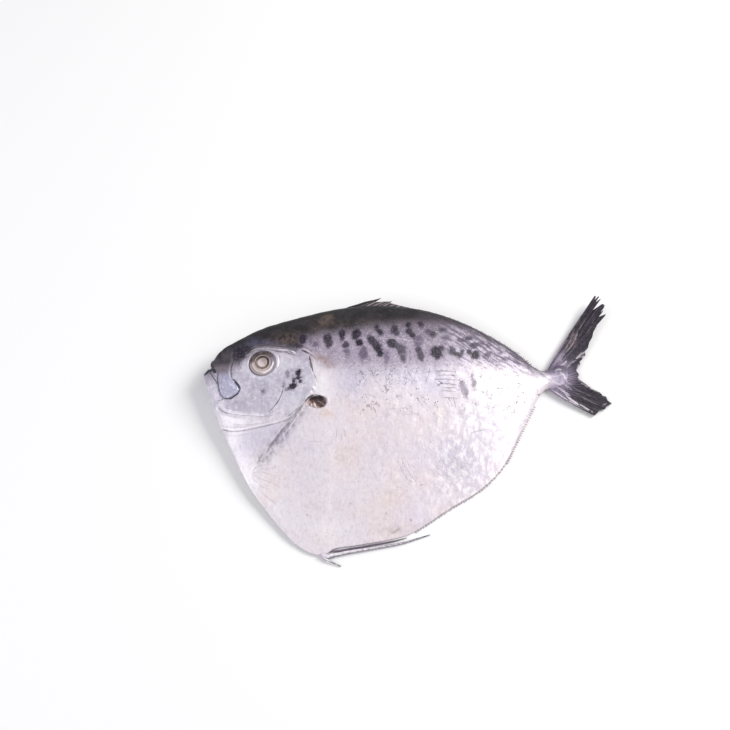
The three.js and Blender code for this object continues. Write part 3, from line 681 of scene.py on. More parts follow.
bare = painted(
    in_head.mixed(silver, head),
    (at.value("pale") * (1 - in_head * 0.5), "F8F4F8"),
    (fibre.between(0.45, 0.75) * 0.18, "C4B8C6"),
    (scuff * 0.3, "A99CAA"),
    (speck.between(0.5, 0.8) * 0.16, "B6AAB8"),
    ((at.value("in_lip") + (speck - 0.5) * 0.4).between(-0.1, 0.3), lip),
    # Painted shade, with some of the skin's own darker tone.
    (shaded * 0.8, "85788A"),
    # Painted light: small scattered highlights and darker flecks, then bright wet highlights with bluish
    # painted shade between them on the rear of the belly.
    (shimmer.between(0.52, 0.66) * 0.25, "FBF8FB"),
    (shimmer.between(0.46, 0.34) * 0.16, "A79DB0"),
    (sheen_noise.between(0.5, 0.57) * sheen_area * 0.55, "FEFDFE"),
    (sheen_noise.between(0.47, 0.4) * sheen_area * 0.18, "BCB6C6"),
)

# Slate pigment covers the upper flank and breaks into slanting streaks towards the tail.
fray = (speck - 0.5) * 3 + (cloud - 0.5) * 5
above_dark, above_grey = at.value("above_dark"), at.value("above_grey")
grey = (above_grey + fray).between(-8.5, 4.5)
depth, rear = from_back + fray * 0.5, to_tail.between(8, 40)
turned = at.node("ShaderNodeMapping", {}, {"Vector": at.place(), "Rotation": (0, 0, 0.56)})
drawn_out = at.node("ShaderNodeMapping", {}, {"Vector": turned, "Scale": (0.3, 1.5, 1)})
streak = at.node("ShaderNodeTexNoise", {}, {"Vector": drawn_out, "Scale": 480, "Detail": 4})
slate = painted(
    depth.between(6, 16).mixed(rear.mixed("544A53", "9E94A8"), rear.mixed("766B79", "A298AC")),
    (depth.between(13, 27), "A89CB0"),
    (depth.between(22, 8) * to_tail.between(30, -10) * cloud.between(0.3, 0.6) * 0.5, "8A7A80"),
    (wander.between(0.35, 0.75) * 0.5, "7C7184"),
    (speck.between(0.5, 0.6) * 0.55, "CFC5D3"),
    (grain.between(0.52, 0.62) * 0.5, "5F5466"),
    (at.noise(1.7, 3).between(0.52, 0.6) * depth.between(32, 12) * 0.6, "655A68"),
    (streak.between(0.48, 0.56) * rear * 0.85, "DCD4E4"),
    (streak.between(0.46, 0.4) * rear * 0.7, "4C4257"),
)

# Nearly black pigment runs over the head and along the back's edge, and stands in spots below it.
dark = (above_dark + fray * 0.9 + (speck - 0.5) * 5 + (grain - 0.5) * 4).between(-5.5, 3.5)
snout = to_tail.between(-90.6, -92) * to_back.between(44, 38)
pigment = painted(
    at.noise(5, 4).between(0.35, 0.7).mixed("161617", "2E2A2D"),
    ((to_tail + cloud * 30).between(8, 46), "4C424E"),
    (at.value("umber") * at.noise(2.6, 3).between(0.3, 0.62) * 0.85, "66554E"),
    (at.value("navy") * at.noise(3, 3).between(0.25, 0.6) * 0.85, "4F4D64"),
    (snout * 0.95, wander.between(0.35, 0.65).mixed("514A50", "3E3A43")),
    (snout * to_back.between(34.5, 30.5), "776E76"),
)
rim = (from_back + (speck - 0.5) * 1.8 + to_tail.between(20, 45) * 2.4).between(6, 1.5)
rim = rim * above_grey.between(-1, 1) * to_tail.between(-104, -98) * to_tail.between(74, 60)
spot_near = at.value("spot_in") + (wander - 0.5) * 3 + (speck - 0.5) * 2.4 + (grain - 0.5) * 2.4
spot_strength = at.value("spot_dark")
faint = spot_strength.between(0.85, 0.4)
spot_core = faint.mixed((speck * 0.5 + grain * 0.6).between(0.5, 0.74).mixed("110F14", "5A4F66"), "685C76")
fleck = at.noise(1.5, 2).between(0.62, 0.68) * above_grey.between(-12, 2) * (1 - dark)
vein = (at.noise(2.4, 1.5) - 0.5).size().between(0.03, 0.008) * at.noise(4, 2).between(0.5, 0.57)
veined = to_back.between(0, 14) * to_tail.between(-36, -22) * (1 - grey * 0.5)
pigmented = painted(
    bare,
    (grey * 0.92, slate),
    (tan * grey.between(0.1, 0.5) * wander.between(0.2, 0.6), "9B8688"),
    (dark * 0.96, pigment),
    (rim * 0.85, to_tail.between(0, 34).mixed("141415", "3A323B")),
    (spot_near.between(-2, 0.2) * spot_strength * 0.3, "5D5366"),
    (spot_near.between(-0.65, 0.5) * (spot_strength + faint * 0.25), spot_core),
    (fleck * 0.5, "6A5E6C"),
    (vein * veined * 0.75, "665B6B"),
)

# Last come the drawn lines, raw flesh in the hollow behind the gill cover, the keel and the violet end of
# the tail stalk.
ink_and_shade = at.line("ink_and_shade", waver * 0.5, 0.12, vary)
pit = (at.value("in_pit") + (speck - 0.5) * 1.2).between(-0.3, 0.5)
behind_pit = to_tail + 47
slope = to_back + behind_pit * 0.3 + (speck - 0.5) * 2
# The raw flesh darkens towards the top of the hollow, where it is partly brown flesh and partly painted
# shade under the overhanging rim; its pale lower edge is a flap of skin.
flesh = painted(
    slope.between(10.4, 12.6).mixed("8A6E6A", "33201E"),
    ((slope + behind_pit * 0.35).between(10.6, 8.8), "D9C6C6"),
    ((to_tail + (speck - 0.5) * 2).between(-45, -43), "86747B"),
)
keel = (at.value("from_keel") + (speck - 0.5) * 1.2).between(1.1, 0.1) * (1 - grey)
stalk = (to_tail + (fibre - 0.5) * 6 + (to_back - 30).size() * 0.5).between(73, 80)
violet = to_back.between(33.5, 37.5).mixed(fibre.between(0.3, 0.7).mixed("6F657C", "9F94AA"), "5E5466")
skin_colour = painted(
    pigmented,
    (at.line("scrape", waver * 0.8, 0.12, vary) * 0.65, to_back.between(-20, 0).mixed("8F7468", "5F5664")),
    # The creases are darkened with painted shade.
    (at.line("crease", waver * 0.5, 0.14, vary) * 0.6, "90869A"),
    # Painted shade in the grooves and under the rims, together with the dark skin of the bones' edges.
    (ink_and_shade * 0.95, to_back.between(36, 39).mixed("2C2A3C", "33292E")),
    # Painted highlights on thin rims, and the pale lateral line.
    (at.line("glint", waver * 0.5, 0.12, vary) * 0.9, "FAF7FA"),
    (pit * slope.between(7.4, 9.4) * 0.95, flesh),
    (keel * to_tail.between(-30, 10) * 0.3, "CFC3C8"),
    (stalk * 0.95, violet),
    # A wider, softer painted highlight over the end of the stalk.
    (at.line("glint", waver * 1.4, 0.4, vary) * to_tail.between(75, 77) * 0.8, "EDE6F0"),
)
height = speck * 0.5 + grain * 0.3 + fibre * 0.3 - ink_and_shade * 0.5
height = height - at.line("crease", waver * 0.5, 0.3, vary) * 0.5
body.data.materials.append(finish({
    "Base Color": skin_colour, "Metallic": 0.22 - grey * 0.16,
    "Roughness": 0.32 + wander * 0.12 + dark * 0.16, "IOR": WET_IOR,
    "Coat Weight": 0.34 - grey * 0.3, "Coat Roughness": 0.14, "Normal": height.bump(0.2, 0.7),
}))
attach(body, "root")
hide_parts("body")

# ---------------------------------------------------------------- eyes
# Each eyeball shows as a shallow dome in its socket: a dark rim, a tinted ring of iris, a thin raised brown
# ring round the pupil, and a lens that has gone cloudy. A clear wet skin lies over all of it. Painted shade
# darkens its top and upper left, under the socket's rim, and a painted highlight arcs over its lower right.
EYE_RADIUS, EYE_BACK, BOWL_STEPS, DOME_STEPS, EYE_TURNS = 7.3, 3.4, 56, 74, 96
EYE_PROFILE = line_through([  # radius, height of the dome's surface over the rim
    (0, 1.5), (1.4, 1.42), (2.2, 1.2), (2.6, 0.9), (3.1, 1.2), (3.6, 1.1), (4, 0.75), (4.5, 0.75),
    (4.9, 0.9), (5.4, 0.8), (5.9, 0.45), (6.4, 0.5), (6.9, 0.15), (7.3, -0.3),
])


def eye_rings(side):
    """The eye as rings from the back of the ball out to the rim and in over the dome to its middle."""
    radius = EYE_RADIUS * np.sin(np.linspace(0, np.pi / 2, BOWL_STEPS))
    bowl = -0.3 - EYE_BACK * np.sqrt(np.maximum(0, 1 - (radius / EYE_RADIUS) ** 2))
    dome_radius = np.linspace(EYE_RADIUS, 0, DOME_STEPS)[1:]
    r = np.maximum(np.concatenate([radius, dome_radius]), 0.02)[:, None]
    h = np.concatenate([bowl, EYE_PROFILE(dome_radius)])[:, None]
    turn = np.linspace(0, 2 * np.pi, EYE_TURNS, endpoint=False)
    across, up = np.cos(turn), np.sin(turn)
    rim = skin_height(EYE[0] + EYE_RADIUS * across, EYE[1] + EYE_RADIUS * up, side)
    z = rim.mean() + (rim - rim.mean()) * (r / EYE_RADIUS) + side * h
    rings = np.stack([EYE[0] + r * across, EYE[1] + r * up, np.maximum(SLAB_GAP, z)], -1)
    fields = {"ring": r * np.ones_like(turn), "top": r * up, "right": r * across}
    if side < 0:
        rings, fields = rings[:, ::-1], {name: field[:, ::-1] for name, field in fields.items()}
    return rings, fields


at, finish = new_material("moonfish_eye")
mottle, cloudy = at.noise(0.9, 3), at.noise(2.2, 4)
ring = at.value("ring") + (mottle - 0.5) * 0.5 + (cloudy - 0.5) * 0.5
top, right = at.value("top"), at.value("right")
# Across the eye the tones run lighter towards the lower left and darker towards the top and upper right. The
# dark top and the darker upper left of the outer ring are painted shade from the socket's rim, and the pale
# arc at the lower right is a painted highlight.
low_left = (top * -0.8 - right * 0.6 + mottle * 4).between(-2, 5)
lower_right_highlight = (right - top + mottle * 2 - 5.4).between(0, 2.4)
shade = (top - right * 0.3 + (cloudy - 0.5) * 3).between(0.2, 3) * ring.between(3.8, 4.3)
shade_tone = (cloudy * 0.6 + mottle * 0.5).between(0.4, 0.8).mixed("2B2425", "6D5E58")
edge = ring.between(6.5, 6.9) * (top * 0.6 - right + mottle * 3).between(-6, 2)
brown = (top * 0.7 + right * 0.5 + mottle * 3).between(-1.5, 4)
lens = (mottle * 4 + cloudy * 3 - top * 0.8 - right * 0.8).between(1.6, 5.6).mixed("A08F8C", "DFD3D2")
eye_colour = painted(
    low_left.mixed("857B8A", "AE9E99"),
    ((top + right * 0.5 + mottle * 3).between(3, -3) * 0.4, "B5ABB3"),
    (ring.between(4.5, 4.9) * ring.between(5.9, 5.3) * low_left * 0.7, "DCCCC6"),
    (ring.between(5.6, 5.9) * ring.between(6.4, 6.1) * 0.45, "70656F"),
    (ring.between(5.2, 5.5) * ring.between(6.1, 5.8) * lower_right_highlight, "F6F2F6"),
    (shade * 0.95, shade_tone),
    (edge * 0.9, "3F373D"),
    (ring.between(6.4, 6.8) * (1 - edge) * 0.6, "8D8494"),
    (ring.between(4.4, 4.1) * (1 - brown * 0.5), "CABCB7"),
    (ring.between(3.9, 3.6), brown.mixed("806D67", "3C302B")),
    (ring.between(2.75, 2.45), lens),
)
eye_material = finish({
    "Base Color": eye_colour, "Roughness": 0.34 + mottle * 0.14, "IOR": WET_IOR, "Coat Weight": 0.4,
    "Coat Roughness": 0.1, "Normal": mottle.bump(0.08, 0.5),
})
for side_name, sign in (("left", 1), ("right", -1)):
    rings, fields = eye_rings(sign)
    points, faces = closed_over(rings)
    eye = make_piece(f"moonfish_{side_name}_eye", points, faces, fields)
    eye.data.materials.append(eye_material)
    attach(eye, "root")
    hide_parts(f"{side_name}_eye")

# ---------------------------------------------------------------- tail fin
# A fan of bony rays that grow out of the end of the stalk, with thin dark skin between them. The long outer
# rays make two lobes; their ends are worn, and the skin between them is torn back.
TAIL_ENDS = [
    (101.4, TAIL_TOP), (102, 78.4), (101.2, 76.6), (103.2, 78.6), (103.6, 78), (101, 74.8), (104.4, 77),
    (104, 76.2), (97.4, 71.8), (97.2, 70.6), (98.2, 69.8), (105, 74), (106.2, 73.2), (105.8, 71.8),
    (102.8, 68.6), (105.4, 70.4), (105.2, 69.8), (102.6, 66.6), (106.5, 68), (106.2, 67.2), (101.6, 63.4),
    (101.4, 61.6), (99.4, 58.2), (98.8, 55.6), (97, 52.6), (96.2, 49.6), (94.4, 47.8), (94.6, 45.6),
    (93.4, 43.8), (91, 41.6), (91.6, 40.4), (90.2, 38.2), (89, 36.6), (90.4, 34.4), (89.8, 32.4),
    (90.8, 30.8), (93.6, 28.6), (96.5, 26), (98.6, 25), (100.8, 23.8), (101.8, 22.6), (102, 21.2),
    (103.8, 21.8), (104.4, 19.6), (106.5, 17.8), (103.6, 16.2), (102.6, 14.4), (100.6, 14.6),
    (98.4, 12.2), (96.8, 10.8),
]
TAIL_ROOT_X, TAIL_ROOT = 73.6, (35.6, 26.2)
RAY_COUNT, PER_RAY, TAIL_STEPS = 34, 8, 76


def plate(middle, half):
    """Rings of a thin plate: middle is a grid of points, half its half thickness at each of them."""
    lift = np.stack([np.zeros_like(half), np.zeros_like(half), half], -1)
    under = middle - lift
    under[..., 2] = np.maximum(SLAB_GAP, under[..., 2])
    return np.concatenate([middle + lift, under[:, ::-1]], 1)


def both_faces(values):
    """The same numbers for a plate's upper face and, turned round, for its lower one."""
    return np.concatenate([values, values[:, ::-1]], 1)


down = np.linspace(0, 1, RAY_COUNT * PER_RAY + 1)[:, None]
out = np.linspace(0, 1, TAIL_STEPS)[None, :]
ends = np.array(TAIL_ENDS)
place = down * (len(ends) - 1)
tip_x, tip_y = (np.interp(place, np.arange(len(ends)), ends[:, i]) for i in range(2))
root_y = TAIL_ROOT[0] + (TAIL_ROOT[1] - TAIL_ROOT[0]) * down
tx = TAIL_ROOT_X + (tip_x - TAIL_ROOT_X) * out
spring = np.sin(np.pi * out ** 0.6) * ((1 - down) ** 6 * 2 - down**6 * 1.1)
ty = root_y + (tip_y - root_y) * out + spring
upward = np.clip((ty - 36) / 40, 0, 1)
curl = 5.3 * upward - 1.1 * (1 - upward)  # the upper lobe curls up off the slab and the lower one droops
tz = 2.45 + (tx - 80.3) / 26 * curl + 0.2 * np.sin(down * 19) * out
ray_wave = 0.5 + 0.5 * np.cos(2 * np.pi * RAY_COUNT * down)
split_wave = 0.5 + 0.5 * np.cos(4 * np.pi * RAY_COUNT * down)
crest = ray_wave * (1 - fade(out, 0.45, 0.75)) + split_wave * fade(out, 0.45, 0.75)
leading = np.maximum(ridge(down, 0.025), ridge(1 - down, 0.04)) * np.ones_like(out)
half = 0.16 + 0.7 * (1 - out) ** 2 * fade(out, 0, 0.2) + (0.26 - 0.12 * out) * crest * fade(out, 0, 0.12)
half += 0.3 * leading * (1 - 0.5 * out)
rings = plate(np.stack([tx, ty, np.maximum(tz, half + 0.05)], -1), half)
points, faces = closed_over(rings)
# Some of these are the fin's own pale rays and edges; the bright folds and the short streaks by the stalk's
# end are painted highlights.
TAIL_STREAKS = drawn([  # pale rays and bright folds
    ([(73.4, 37.6), (76, 41), (78.8, 45.3), (81.2, 48.4)], 0.6, 0.7),
    ([(81.7, 48.8), (84.6, 52.8), (87.5, 56.3), (89.3, 60.3)], 0.35, 0.5),
    ([(85.4, 48.1), (87.1, 50.4), (88.9, 53.3), (90.1, 56.1), (91.3, 58.4)], 0.5, 0.8),
    ([(84.2, 49.4), (86.4, 53), (88.4, 57), (89.6, 60.6)], 0.4, 0.5),
    ([(83.4, 46), (86, 49.6)], 0.4, 0.5), ([(88, 49), (90.6, 53.6)], 0.4, 0.3),
    ([(79.6, 41), (82, 44.4), (84.6, 48)], 0.5, 0.4),
    ([(74.4, 25), (77.4, 22.8), (80.4, 20.4), (84.4, 17.6), (89.4, 14.3), (96.8, 10.4)], 0.8, 0.95),
    ([(80.7, 24.8), (83.6, 20.8), (87, 18), (91.6, 15.4), (96.1, 12.6)], 0.5, 0.85),
    ([(80.5, 38.8), (82.7, 40.2), (84.4, 42)], 0.5, 0.9), ([(81, 41.6), (82, 43.4)], 0.4, 0.5),
    ([(89.3, 43.4), (91, 44.6), (92.7, 46.3), (95, 47.4)], 0.6, 0.7),
    ([(92.6, 43.8), (94.6, 44.6)], 0.7, 0.7), ([(89.4, 36.6), (90.4, 38.6), (91, 40.4)], 0.6, 0.6),
    ([(90.4, 30.4), (89.6, 33)], 0.5, 0.5), ([(91, 29.4), (95, 26.8), (100.4, 23.6)], 0.4, 0.5),
    ([(78, 30), (82, 28.2), (86, 25)], 0.5, 0.5), ([(79, 33), (82.4, 31), (86, 28)], 0.5, 0.4),
    ([(77, 27), (81, 24.6), (85, 21.4)], 0.6, 0.6), ([(86, 24.6), (92, 20.6), (99, 17)], 0.25, 0.2),
    ([(85, 27.4), (91, 24), (98, 21)], 0.25, 0.16), ([(101.6, 16.4), (103.6, 18)], 0.4, 0.25),
    ([(84, 38), (87, 41), (89, 42.6)], 0.4, 0.35), ([(92, 60), (96, 66.4)], 0.35, 0.3),
    ([(90.4, 62), (97, 73)], 0.3, 0.3), ([(96, 58), (100.6, 66)], 0.35, 0.3),
], tx, ty)
tail_marks = {
    "crest": crest, "out": out * np.ones_like(down), "to_tail": tx, "to_back": ty,
    **named("streak", TAIL_STREAKS),
}
tail_marks = {name: both_faces(field) for name, field in tail_marks.items()}
tail_fin = make_piece("moonfish_tail_fin", points, faces, tail_marks)


def fin_skin(name, dark_code, pale_code, root_code):
    """Wet fin skin: dark between its rays, paler on them, and of another tone where it leaves the body."""
    at, finish = new_material(name)
    streaks = at.noise(1.6, 4)
    rays = at.value("crest") * 0.5 + streaks * 0.9
    root = (at.value("out") + (streaks - 0.5) * 0.25).between(0.42, 0.14)
    tint = (root * 0.85).mixed(rays.between(0.45, 1.15).mixed(dark_code, pale_code), root_code)
    height = at.value("crest") * 0.4 + streaks * 0.5 + at.noise(0.5, 2) * 0.3
    return at, finish, tint, height


at, finish, tint, height = fin_skin("moonfish_tail_skin", "211D25", "524959", "2E2A30")
to_tail, to_back, streaks = at.value("to_tail"), at.value("to_back"), at.noise(1.6, 4)
grained = (streaks * 0.8 + at.value("crest") * 0.3).between(0.35, 0.75)
out_from_root = to_tail + (streaks - 0.5) * 7 + (to_back - 33).size() * 0.45
pale_line = at.line("streak", (streaks - 0.5) * 1.2, 0.25)
pale_line = pale_line * (streaks * 0.6 + at.noise(3, 2) * 0.5).between(0.35, 0.6)
tint = painted(
    tint,
    (to_back.between(34, 30) * 0.7, grained.mixed("17141A", "453D49")),
    (out_from_root.between(97, 88) * 0.8, grained.mixed("332C39", "6C6174")),
    (out_from_root.between(91, 83.5) * 0.95, grained.mixed("6B6077", "A89DB2")),
    # Pale rays, with painted highlights among them.
    (pale_line * 0.9, to_back.between(50, 44).mixed("A8979B", "E9DFE8")),
)
tail_fin.data.materials.append(finish({
    "Base Color": tint, "Roughness": 0.42, "Metallic": 0.1, "IOR": WET_IOR, "Coat Weight": 0.15,
    "Coat Roughness": 0.2, "Normal": height.bump(0.2, 0.6),
}))
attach(tail_fin, "root")
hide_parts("tail_fin")

# ---------------------------------------------------------------- dorsal fin
# The front rays are the long ones and lie folded back in a dark flap. Behind it the fin is a low frill of
# short rays, with two bristles standing clear near the tail, painted near-white as a painted highlight.
FOLDED_RAYS = [  # where the ray leaves the back, and its tip
    (-35, -31, 68.9), (-34.2, -22.6, 71.9), (-33.4, -14, 74.3), (-28.5, -15.4, 73.3), (-23.5, -17.2, 72.1),
    (-20, -12.6, 72.6), (-17.5, -8.2, 73), (-14.5, -9.4, 71.9), (-11, -6.6, 71), (-7, -3.6, 70),
    (-3, 0, 69.3), (1.5, 2.8, 68.7),
]
down = np.linspace(0, 1, 12 * (len(FOLDED_RAYS) - 1) + 1)[:, None]
out = np.linspace(0, 1, 26)[None, :]
rays = np.array(FOLDED_RAYS)
place = down * (len(rays) - 1)
base_x, tip_x, tip_y = (np.interp(place, np.arange(len(rays)), rays[:, i]) for i in range(3))
fx = base_x + (tip_x - base_x) * out
base_y = back_line(base_x) - 0.5
fy = np.maximum(base_y + (tip_y - base_y) * out, back_line(fx) - 0.9)
fz = mid_height(fx, back_line(fx)) + 0.5 + 0.35 * np.sin(down * 9) * out
crest = (0.5 + 0.5 * np.cos(2 * np.pi * place)) * np.ones_like(out)
half = 0.1 + 0.18 * crest + 0.25 * (1 - out) * ridge(down, 0.25)
points, faces = closed_over(plate(np.stack([fx, fy, fz], -1), half))
flap = make_piece("moonfish_dorsal_flap", points, faces, {
    "crest": both_faces(crest), "out": both_faces(out * np.ones_like(down)),
    "down": both_faces(down * np.ones_like(out)),
})


def tapered(points, radii, sides, steps, flatten=1.0):
    """Rings of a rod along a smooth curve, its radius running through radii."""
    centre = curve_through(points, steps)
    ahead = np.gradient(centre, axis=0)
    across = np.stack([-ahead[:, 1], ahead[:, 0], np.zeros(len(ahead))], -1)
    across /= np.maximum(np.linalg.norm(across, axis=1, keepdims=True), 1e-9)
    radius = np.interp(np.linspace(0, 1, len(centre)), np.linspace(0, 1, len(radii)), radii)[:, None, None]
    turn = np.linspace(0, 2 * np.pi, sides, endpoint=False)[None, :, None]
    around = np.cos(turn) * across[:, None] - np.sin(turn) * np.array([0, 0, flatten])
    rings = centre[:, None] + radius * around
    rings[..., 2] = np.maximum(SLAB_GAP, rings[..., 2])
    return rings


def joined(all_rings):
    """Points and faces of several rods in one mesh, and how far along its own rod each point is."""
    points, faces, along = [], [], []
    for rings in all_rings:
        own_points, own_faces = closed_over(rings)
        start = sum(len(p) for p in points)
        faces += [tuple(start + i for i in face) for face in own_faces]
        points.append(own_points)
        own = np.repeat(np.linspace(0, 1, len(rings)), rings.shape[1])
        along.append(np.concatenate([own, [0, 1]]))
    return np.vstack(points), faces, np.concatenate(along)


def edge_rod(edge, x, outward, length, lean, radii):
    """A short ray standing on the body's edge at x, sloping back by lean for each unit it stands out."""
    slope = edge(x + 0.5) - edge(x - 0.5)
    nx, ny = np.array([-slope, 1]) / math.hypot(slope, 1) * outward
    z = max(0.5, float(mid_height(x, edge(x))))
    steps = (-0.6, 0.4 * length, length)
    route = [(x + nx * s + lean * max(s, 0), float(edge(x)) + ny * s, z) for s in steps]
    return tapered(route, radii, 8, 3)


draws = np.random.default_rng(11)
frill = [
    edge_rod(back_line, x, 1, draws.uniform(0.25, 0.5), draws.uniform(1.4, 2.4), (0.36, 0.3, 0.12))
    for x in np.arange(2, 68, 0.9)
]
slivers = [
    tapered([(x, y, float(mid_height(x, y)) + 0.4) for x, y in route], (0.4, 0.5, 0.2), 8, 5)
    for route in ([(44, 54), (47.8, 51.6), (51.8, 49.6)], [(53, 47.8), (55.8, 46.3), (59.6, 45)])
]
points, faces, along = joined(frill)
frill_piece = make_piece("moonfish_dorsal_frill", points, faces, {"crest": along, "out": along})
points, faces, along = joined(slivers)
sliver_piece = make_piece("moonfish_dorsal_slivers", points, faces, {"crest": along, "out": along + 0.5})
for piece, codes in (
    (flap, ("2A272B", "9A8F94", "3A3639")), (frill_piece, ("39343A", "857A85", "2E2A30")),
    # The slivers' near-white colour is a painted highlight.
    (sliver_piece, ("B9AEB8", "F0EAEE", "B9AEB8")),
):
    at, finish, tint, height = fin_skin(piece.name + "_skin", *codes)
    if piece is flap:
        tint = (at.value("down").between(0.34, 0.2) * 0.9).mixed(tint, "242125")
    piece.data.materials.append(finish({
        "Base Color": tint, "Roughness": 0.4, "Coat Weight": 0.3, "Coat Roughness": 0.15,
        "Normal": height.bump(0.15, 0.5),
    }))
    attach(piece, "root")
    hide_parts("dorsal_fin")

# ---------------------------------------------------------------- anal fin
# Almost all of this fin is sunk in the skin: only a row of tiny blunt spines stands out of the keel, from
# the ends of the pelvic fins to the tail stalk.
spines = [
    edge_rod(belly_line, x, -1, draws.uniform(0.6, 1.15), 0.35, (0.42, 0.36, 0.16))
    for x in np.concatenate([np.arange(3, 50, 1.3), np.arange(50, 66, 0.62)])
]
points, faces, along = joined(spines)
anal_fin = make_piece("moonfish_anal_fin", points, faces, {"crest": along, "out": along})
at, finish, tint, height = fin_skin("moonfish_anal_spines", "A4979E", "E4D9DD", "DDD2D8")
anal_fin.data.materials.append(finish({
    "Base Color": tint, "Roughness": 0.36, "Coat Weight": 0.35, "Coat Roughness": 0.15,
    "Normal": height.bump(0.1, 0.4),
}))
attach(anal_fin, "root")
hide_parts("anal_fin")

# ---------------------------------------------------------------- pelvic fins
# Each is a long thin ray that trails back along the keel from the lowest point of the belly. The left one
# is pale and has a second, broken ray beside it; the right one is a thin dark line against the keel. Both
# are painted paler along their tops, a painted highlight, and darker on their sides, painted shade.
LEFT_RAY = [
    (-44.4, -64.4, 2.2), (-41.4, -65.4, 1.9), (-38, -64.6, 1.6), (-30, -62.9, 1.5), (-17.6, -60.8, 1.3),
    (-5, -58.5, 1.1), (2.4, -56.3, 0.9), (10, -53.8, 0.7),
]
BROKEN_RAY = [(-44.2, -64.8, 1.8), (-42.2, -66.6, 1.6), (-39.5, -68, 1.2), (-34.5, -70.2, 0.6)]
RIGHT_RAY = [
    (-40, -62, 1.2), (-36.6, -62.4, 0.9), (-27.6, -60.9, 0.9), (-17.6, -59, 0.8), (-9, -57.4, 0.8),
    (-1.6, -55.5, 0.8),
]
left_rods = [
    tapered(LEFT_RAY, (0.9, 1.1, 0.95, 0.85, 0.7, 0.55, 0.4, 0.2), 14, 14, 0.7),
    tapered(BROKEN_RAY, (0.7, 0.6, 0.45, 0.25), 12, 12, 0.8),
]
right_rods = [tapered(RIGHT_RAY, (0.5, 0.6, 0.5, 0.45, 0.4, 0.15), 12, 14, 0.8)]
for side_name, rods, slot, codes in (
    ("left", left_rods, "ray", ("5C5166", "F3EDF4", "D6CCDB")),
    ("right", right_rods, "fin", ("3F3643", "776A7C", "8D7F94")),
):
    points, faces, along = joined(rods)
    # The higher a point sits on its rod, the paler it is painted: a painted highlight along each rod's top,
    # with painted shade on its sides.
    height_for_highlight = [np.ravel(rod[..., 2] - rod[..., 2].mean(1, keepdims=True)) for rod in rods]
    crest = np.concatenate([np.append(up / up.max(), (0, 0)) for up in height_for_highlight])
    fields = {"crest": crest * 1.4, "out": along + 0.15}
    fin = make_piece(f"moonfish_{side_name}_pelvic_fin", points, faces, fields)
    at, finish, tint, height = fin_skin(fin.name + "_skin", *codes)
    fin.data.materials.append(finish({
        "Base Color": tint, "Roughness": 0.34, "Coat Weight": 0.4, "Coat Roughness": 0.12,
        "Normal": height.bump(0.12, 0.5),
    }))
    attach(fin, "root")
    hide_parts(f"{side_name}_pelvic_fin")

# ---------------------------------------------------------------- pectoral fin stumps
# The pectoral fins have broken off at the root. A few pale fibres stick up from the raw flesh in the hollow
# behind each gill cover.
FIBRES = [  # foot, tip and thickness, in the hollow
    (-49.7, 12, -47.7, 8.4, 0.55), (-51, 11.2, -49.7, 9.2, 0.36), (-47.2, 12.2, -45.2, 10.6, 0.5),
    (-46, 12, -43.8, 9.8, 0.42), (-44.8, 11.2, -42.9, 8.6, 0.36),
]
at, finish = new_material("moonfish_raw_fibre")
mottle = at.noise(0.7, 3)
tint = painted(
    (at.value("along") + (mottle - 0.5) * 0.5).between(0.1, 0.7).mixed("70463A", "E9DED6"),
    (at.value("to_tail").between(-48, -46.6), mottle.between(0.35, 0.65).mixed("6E5450", "9C8686")),
)
fibre_material = finish({
    "Base Color": tint, "Roughness": 0.4, "Coat Weight": 0.4, "Coat Roughness": 0.12,
    "Normal": mottle.bump(0.1, 0.5),
})
for side_name, sign in (("left", 1), ("right", -1)):
    rods = []
    for foot_x, foot_y, tip_x, tip_y, thick in FIBRES:
        floor = float(skin_height(foot_x, foot_y, sign)) - sign * 1.8
        bend_x, bend_y = (foot_x + tip_x) / 2 + 0.3, (foot_y + tip_y) / 2 + 0.4
        route = [
            (foot_x, foot_y, floor - sign * 0.3), (bend_x, bend_y, floor + sign * 0.7),
            (tip_x, tip_y, floor + sign),
        ]
        route = [(x, y, max(z, 0.3)) for x, y, z in route]
        rods.append(tapered(route, (thick, thick, thick * 0.6), 10, 6, 0.8))
    points, faces, along = joined(rods)
    values = {"along": along, "to_tail": points[:, 0]}
    stump = make_piece(f"moonfish_{side_name}_pectoral_stump", points, faces, values)
    stump.data.materials.append(fibre_material)
    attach(stump, "root")
    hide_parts(f"{side_name}_pectoral_fin_stump")

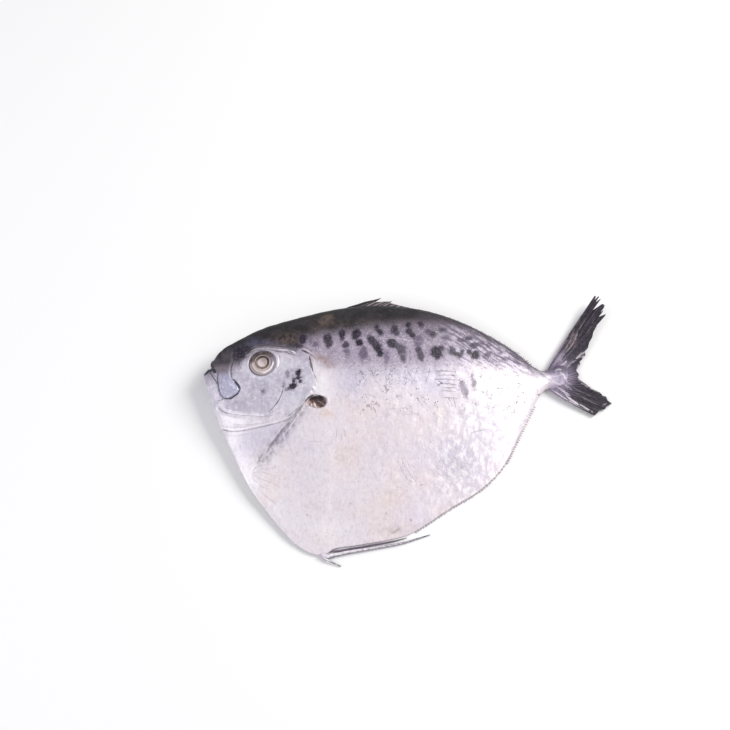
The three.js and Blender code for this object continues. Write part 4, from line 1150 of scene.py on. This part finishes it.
# ---------------------------------------------------------------- floor, light and camera
# A plain pale floor, a large soft light high on the right, a weaker fill on the left, and a camera that
# looks down on the left flank from in front of the belly.
FLOOR_HALF = 2  # metres
floor_mesh = bpy.data.meshes.new("pale_floor")
corners = [(x * FLOOR_HALF, y * FLOOR_HALF, 0) for x, y in ((-1, -1), (1, -1), (1, 1), (-1, 1))]
floor_mesh.from_pydata(corners, [], [(0, 1, 2, 3)])
floor = bpy.data.objects.new("pale_floor", floor_mesh)
bpy.context.scene.collection.objects.link(floor)
at, finish = new_material("pale_floor")
floor.data.materials.append(finish({"Base Color": colour("FBFBFB"), "Roughness": 0.7}))
floor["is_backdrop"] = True


def soft_light(name, place, size, watts, tone):
    """A square area light in metres, aimed at the fish."""
    lamp = bpy.data.lights.new(name, "AREA")
    lamp.size, lamp.energy, lamp.color = size, watts, tone
    light = bpy.data.objects.new(name, lamp)
    light.location = place
    light.rotation_euler = (-light.location).to_track_quat("-Z", "Y").to_euler()
    bpy.context.scene.collection.objects.link(light)


soft_light("window", (0.85, 0.35, 0.85), 0.7, 12, (1, 0.98, 0.96))
soft_light("fill", (-0.9, -0.4, 0.8), 0.9, 5.5, (0.96, 0.96, 1))
world = bpy.data.worlds.new("studio")
world.use_nodes = True
world.node_tree.nodes["Background"].inputs["Color"].default_value = (0.97, 0.97, 1, 1)
world.node_tree.nodes["Background"].inputs["Strength"].default_value = 0.45
bpy.context.scene.world = world
bpy.context.scene.view_settings.view_transform = "Standard"

CAMERA_HEIGHT_ANGLE = math.radians(64)
CAMERA_DISTANCE = 692
AIM = (-22.6, 37, 8)
camera = bpy.data.objects.new("camera", bpy.data.cameras.new("camera"))
camera.data.lens = 65
camera.location = (
    AIM[0] * MM,
    (AIM[1] + ZERO_Y - CAMERA_DISTANCE * math.cos(CAMERA_HEIGHT_ANGLE)) * MM,
    (AIM[2] + CAMERA_DISTANCE * math.sin(CAMERA_HEIGHT_ANGLE)) * MM,
)
camera.rotation_euler = (math.pi / 2 - CAMERA_HEIGHT_ANGLE, 0, 0)
bpy.context.scene.collection.objects.link(camera)
bpy.context.scene.camera = camera

model_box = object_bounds()
boxes = {"cad": cad_box, "model": model_box}
{name: [list(corner) for corner in box] for name, box in boxes.items()}
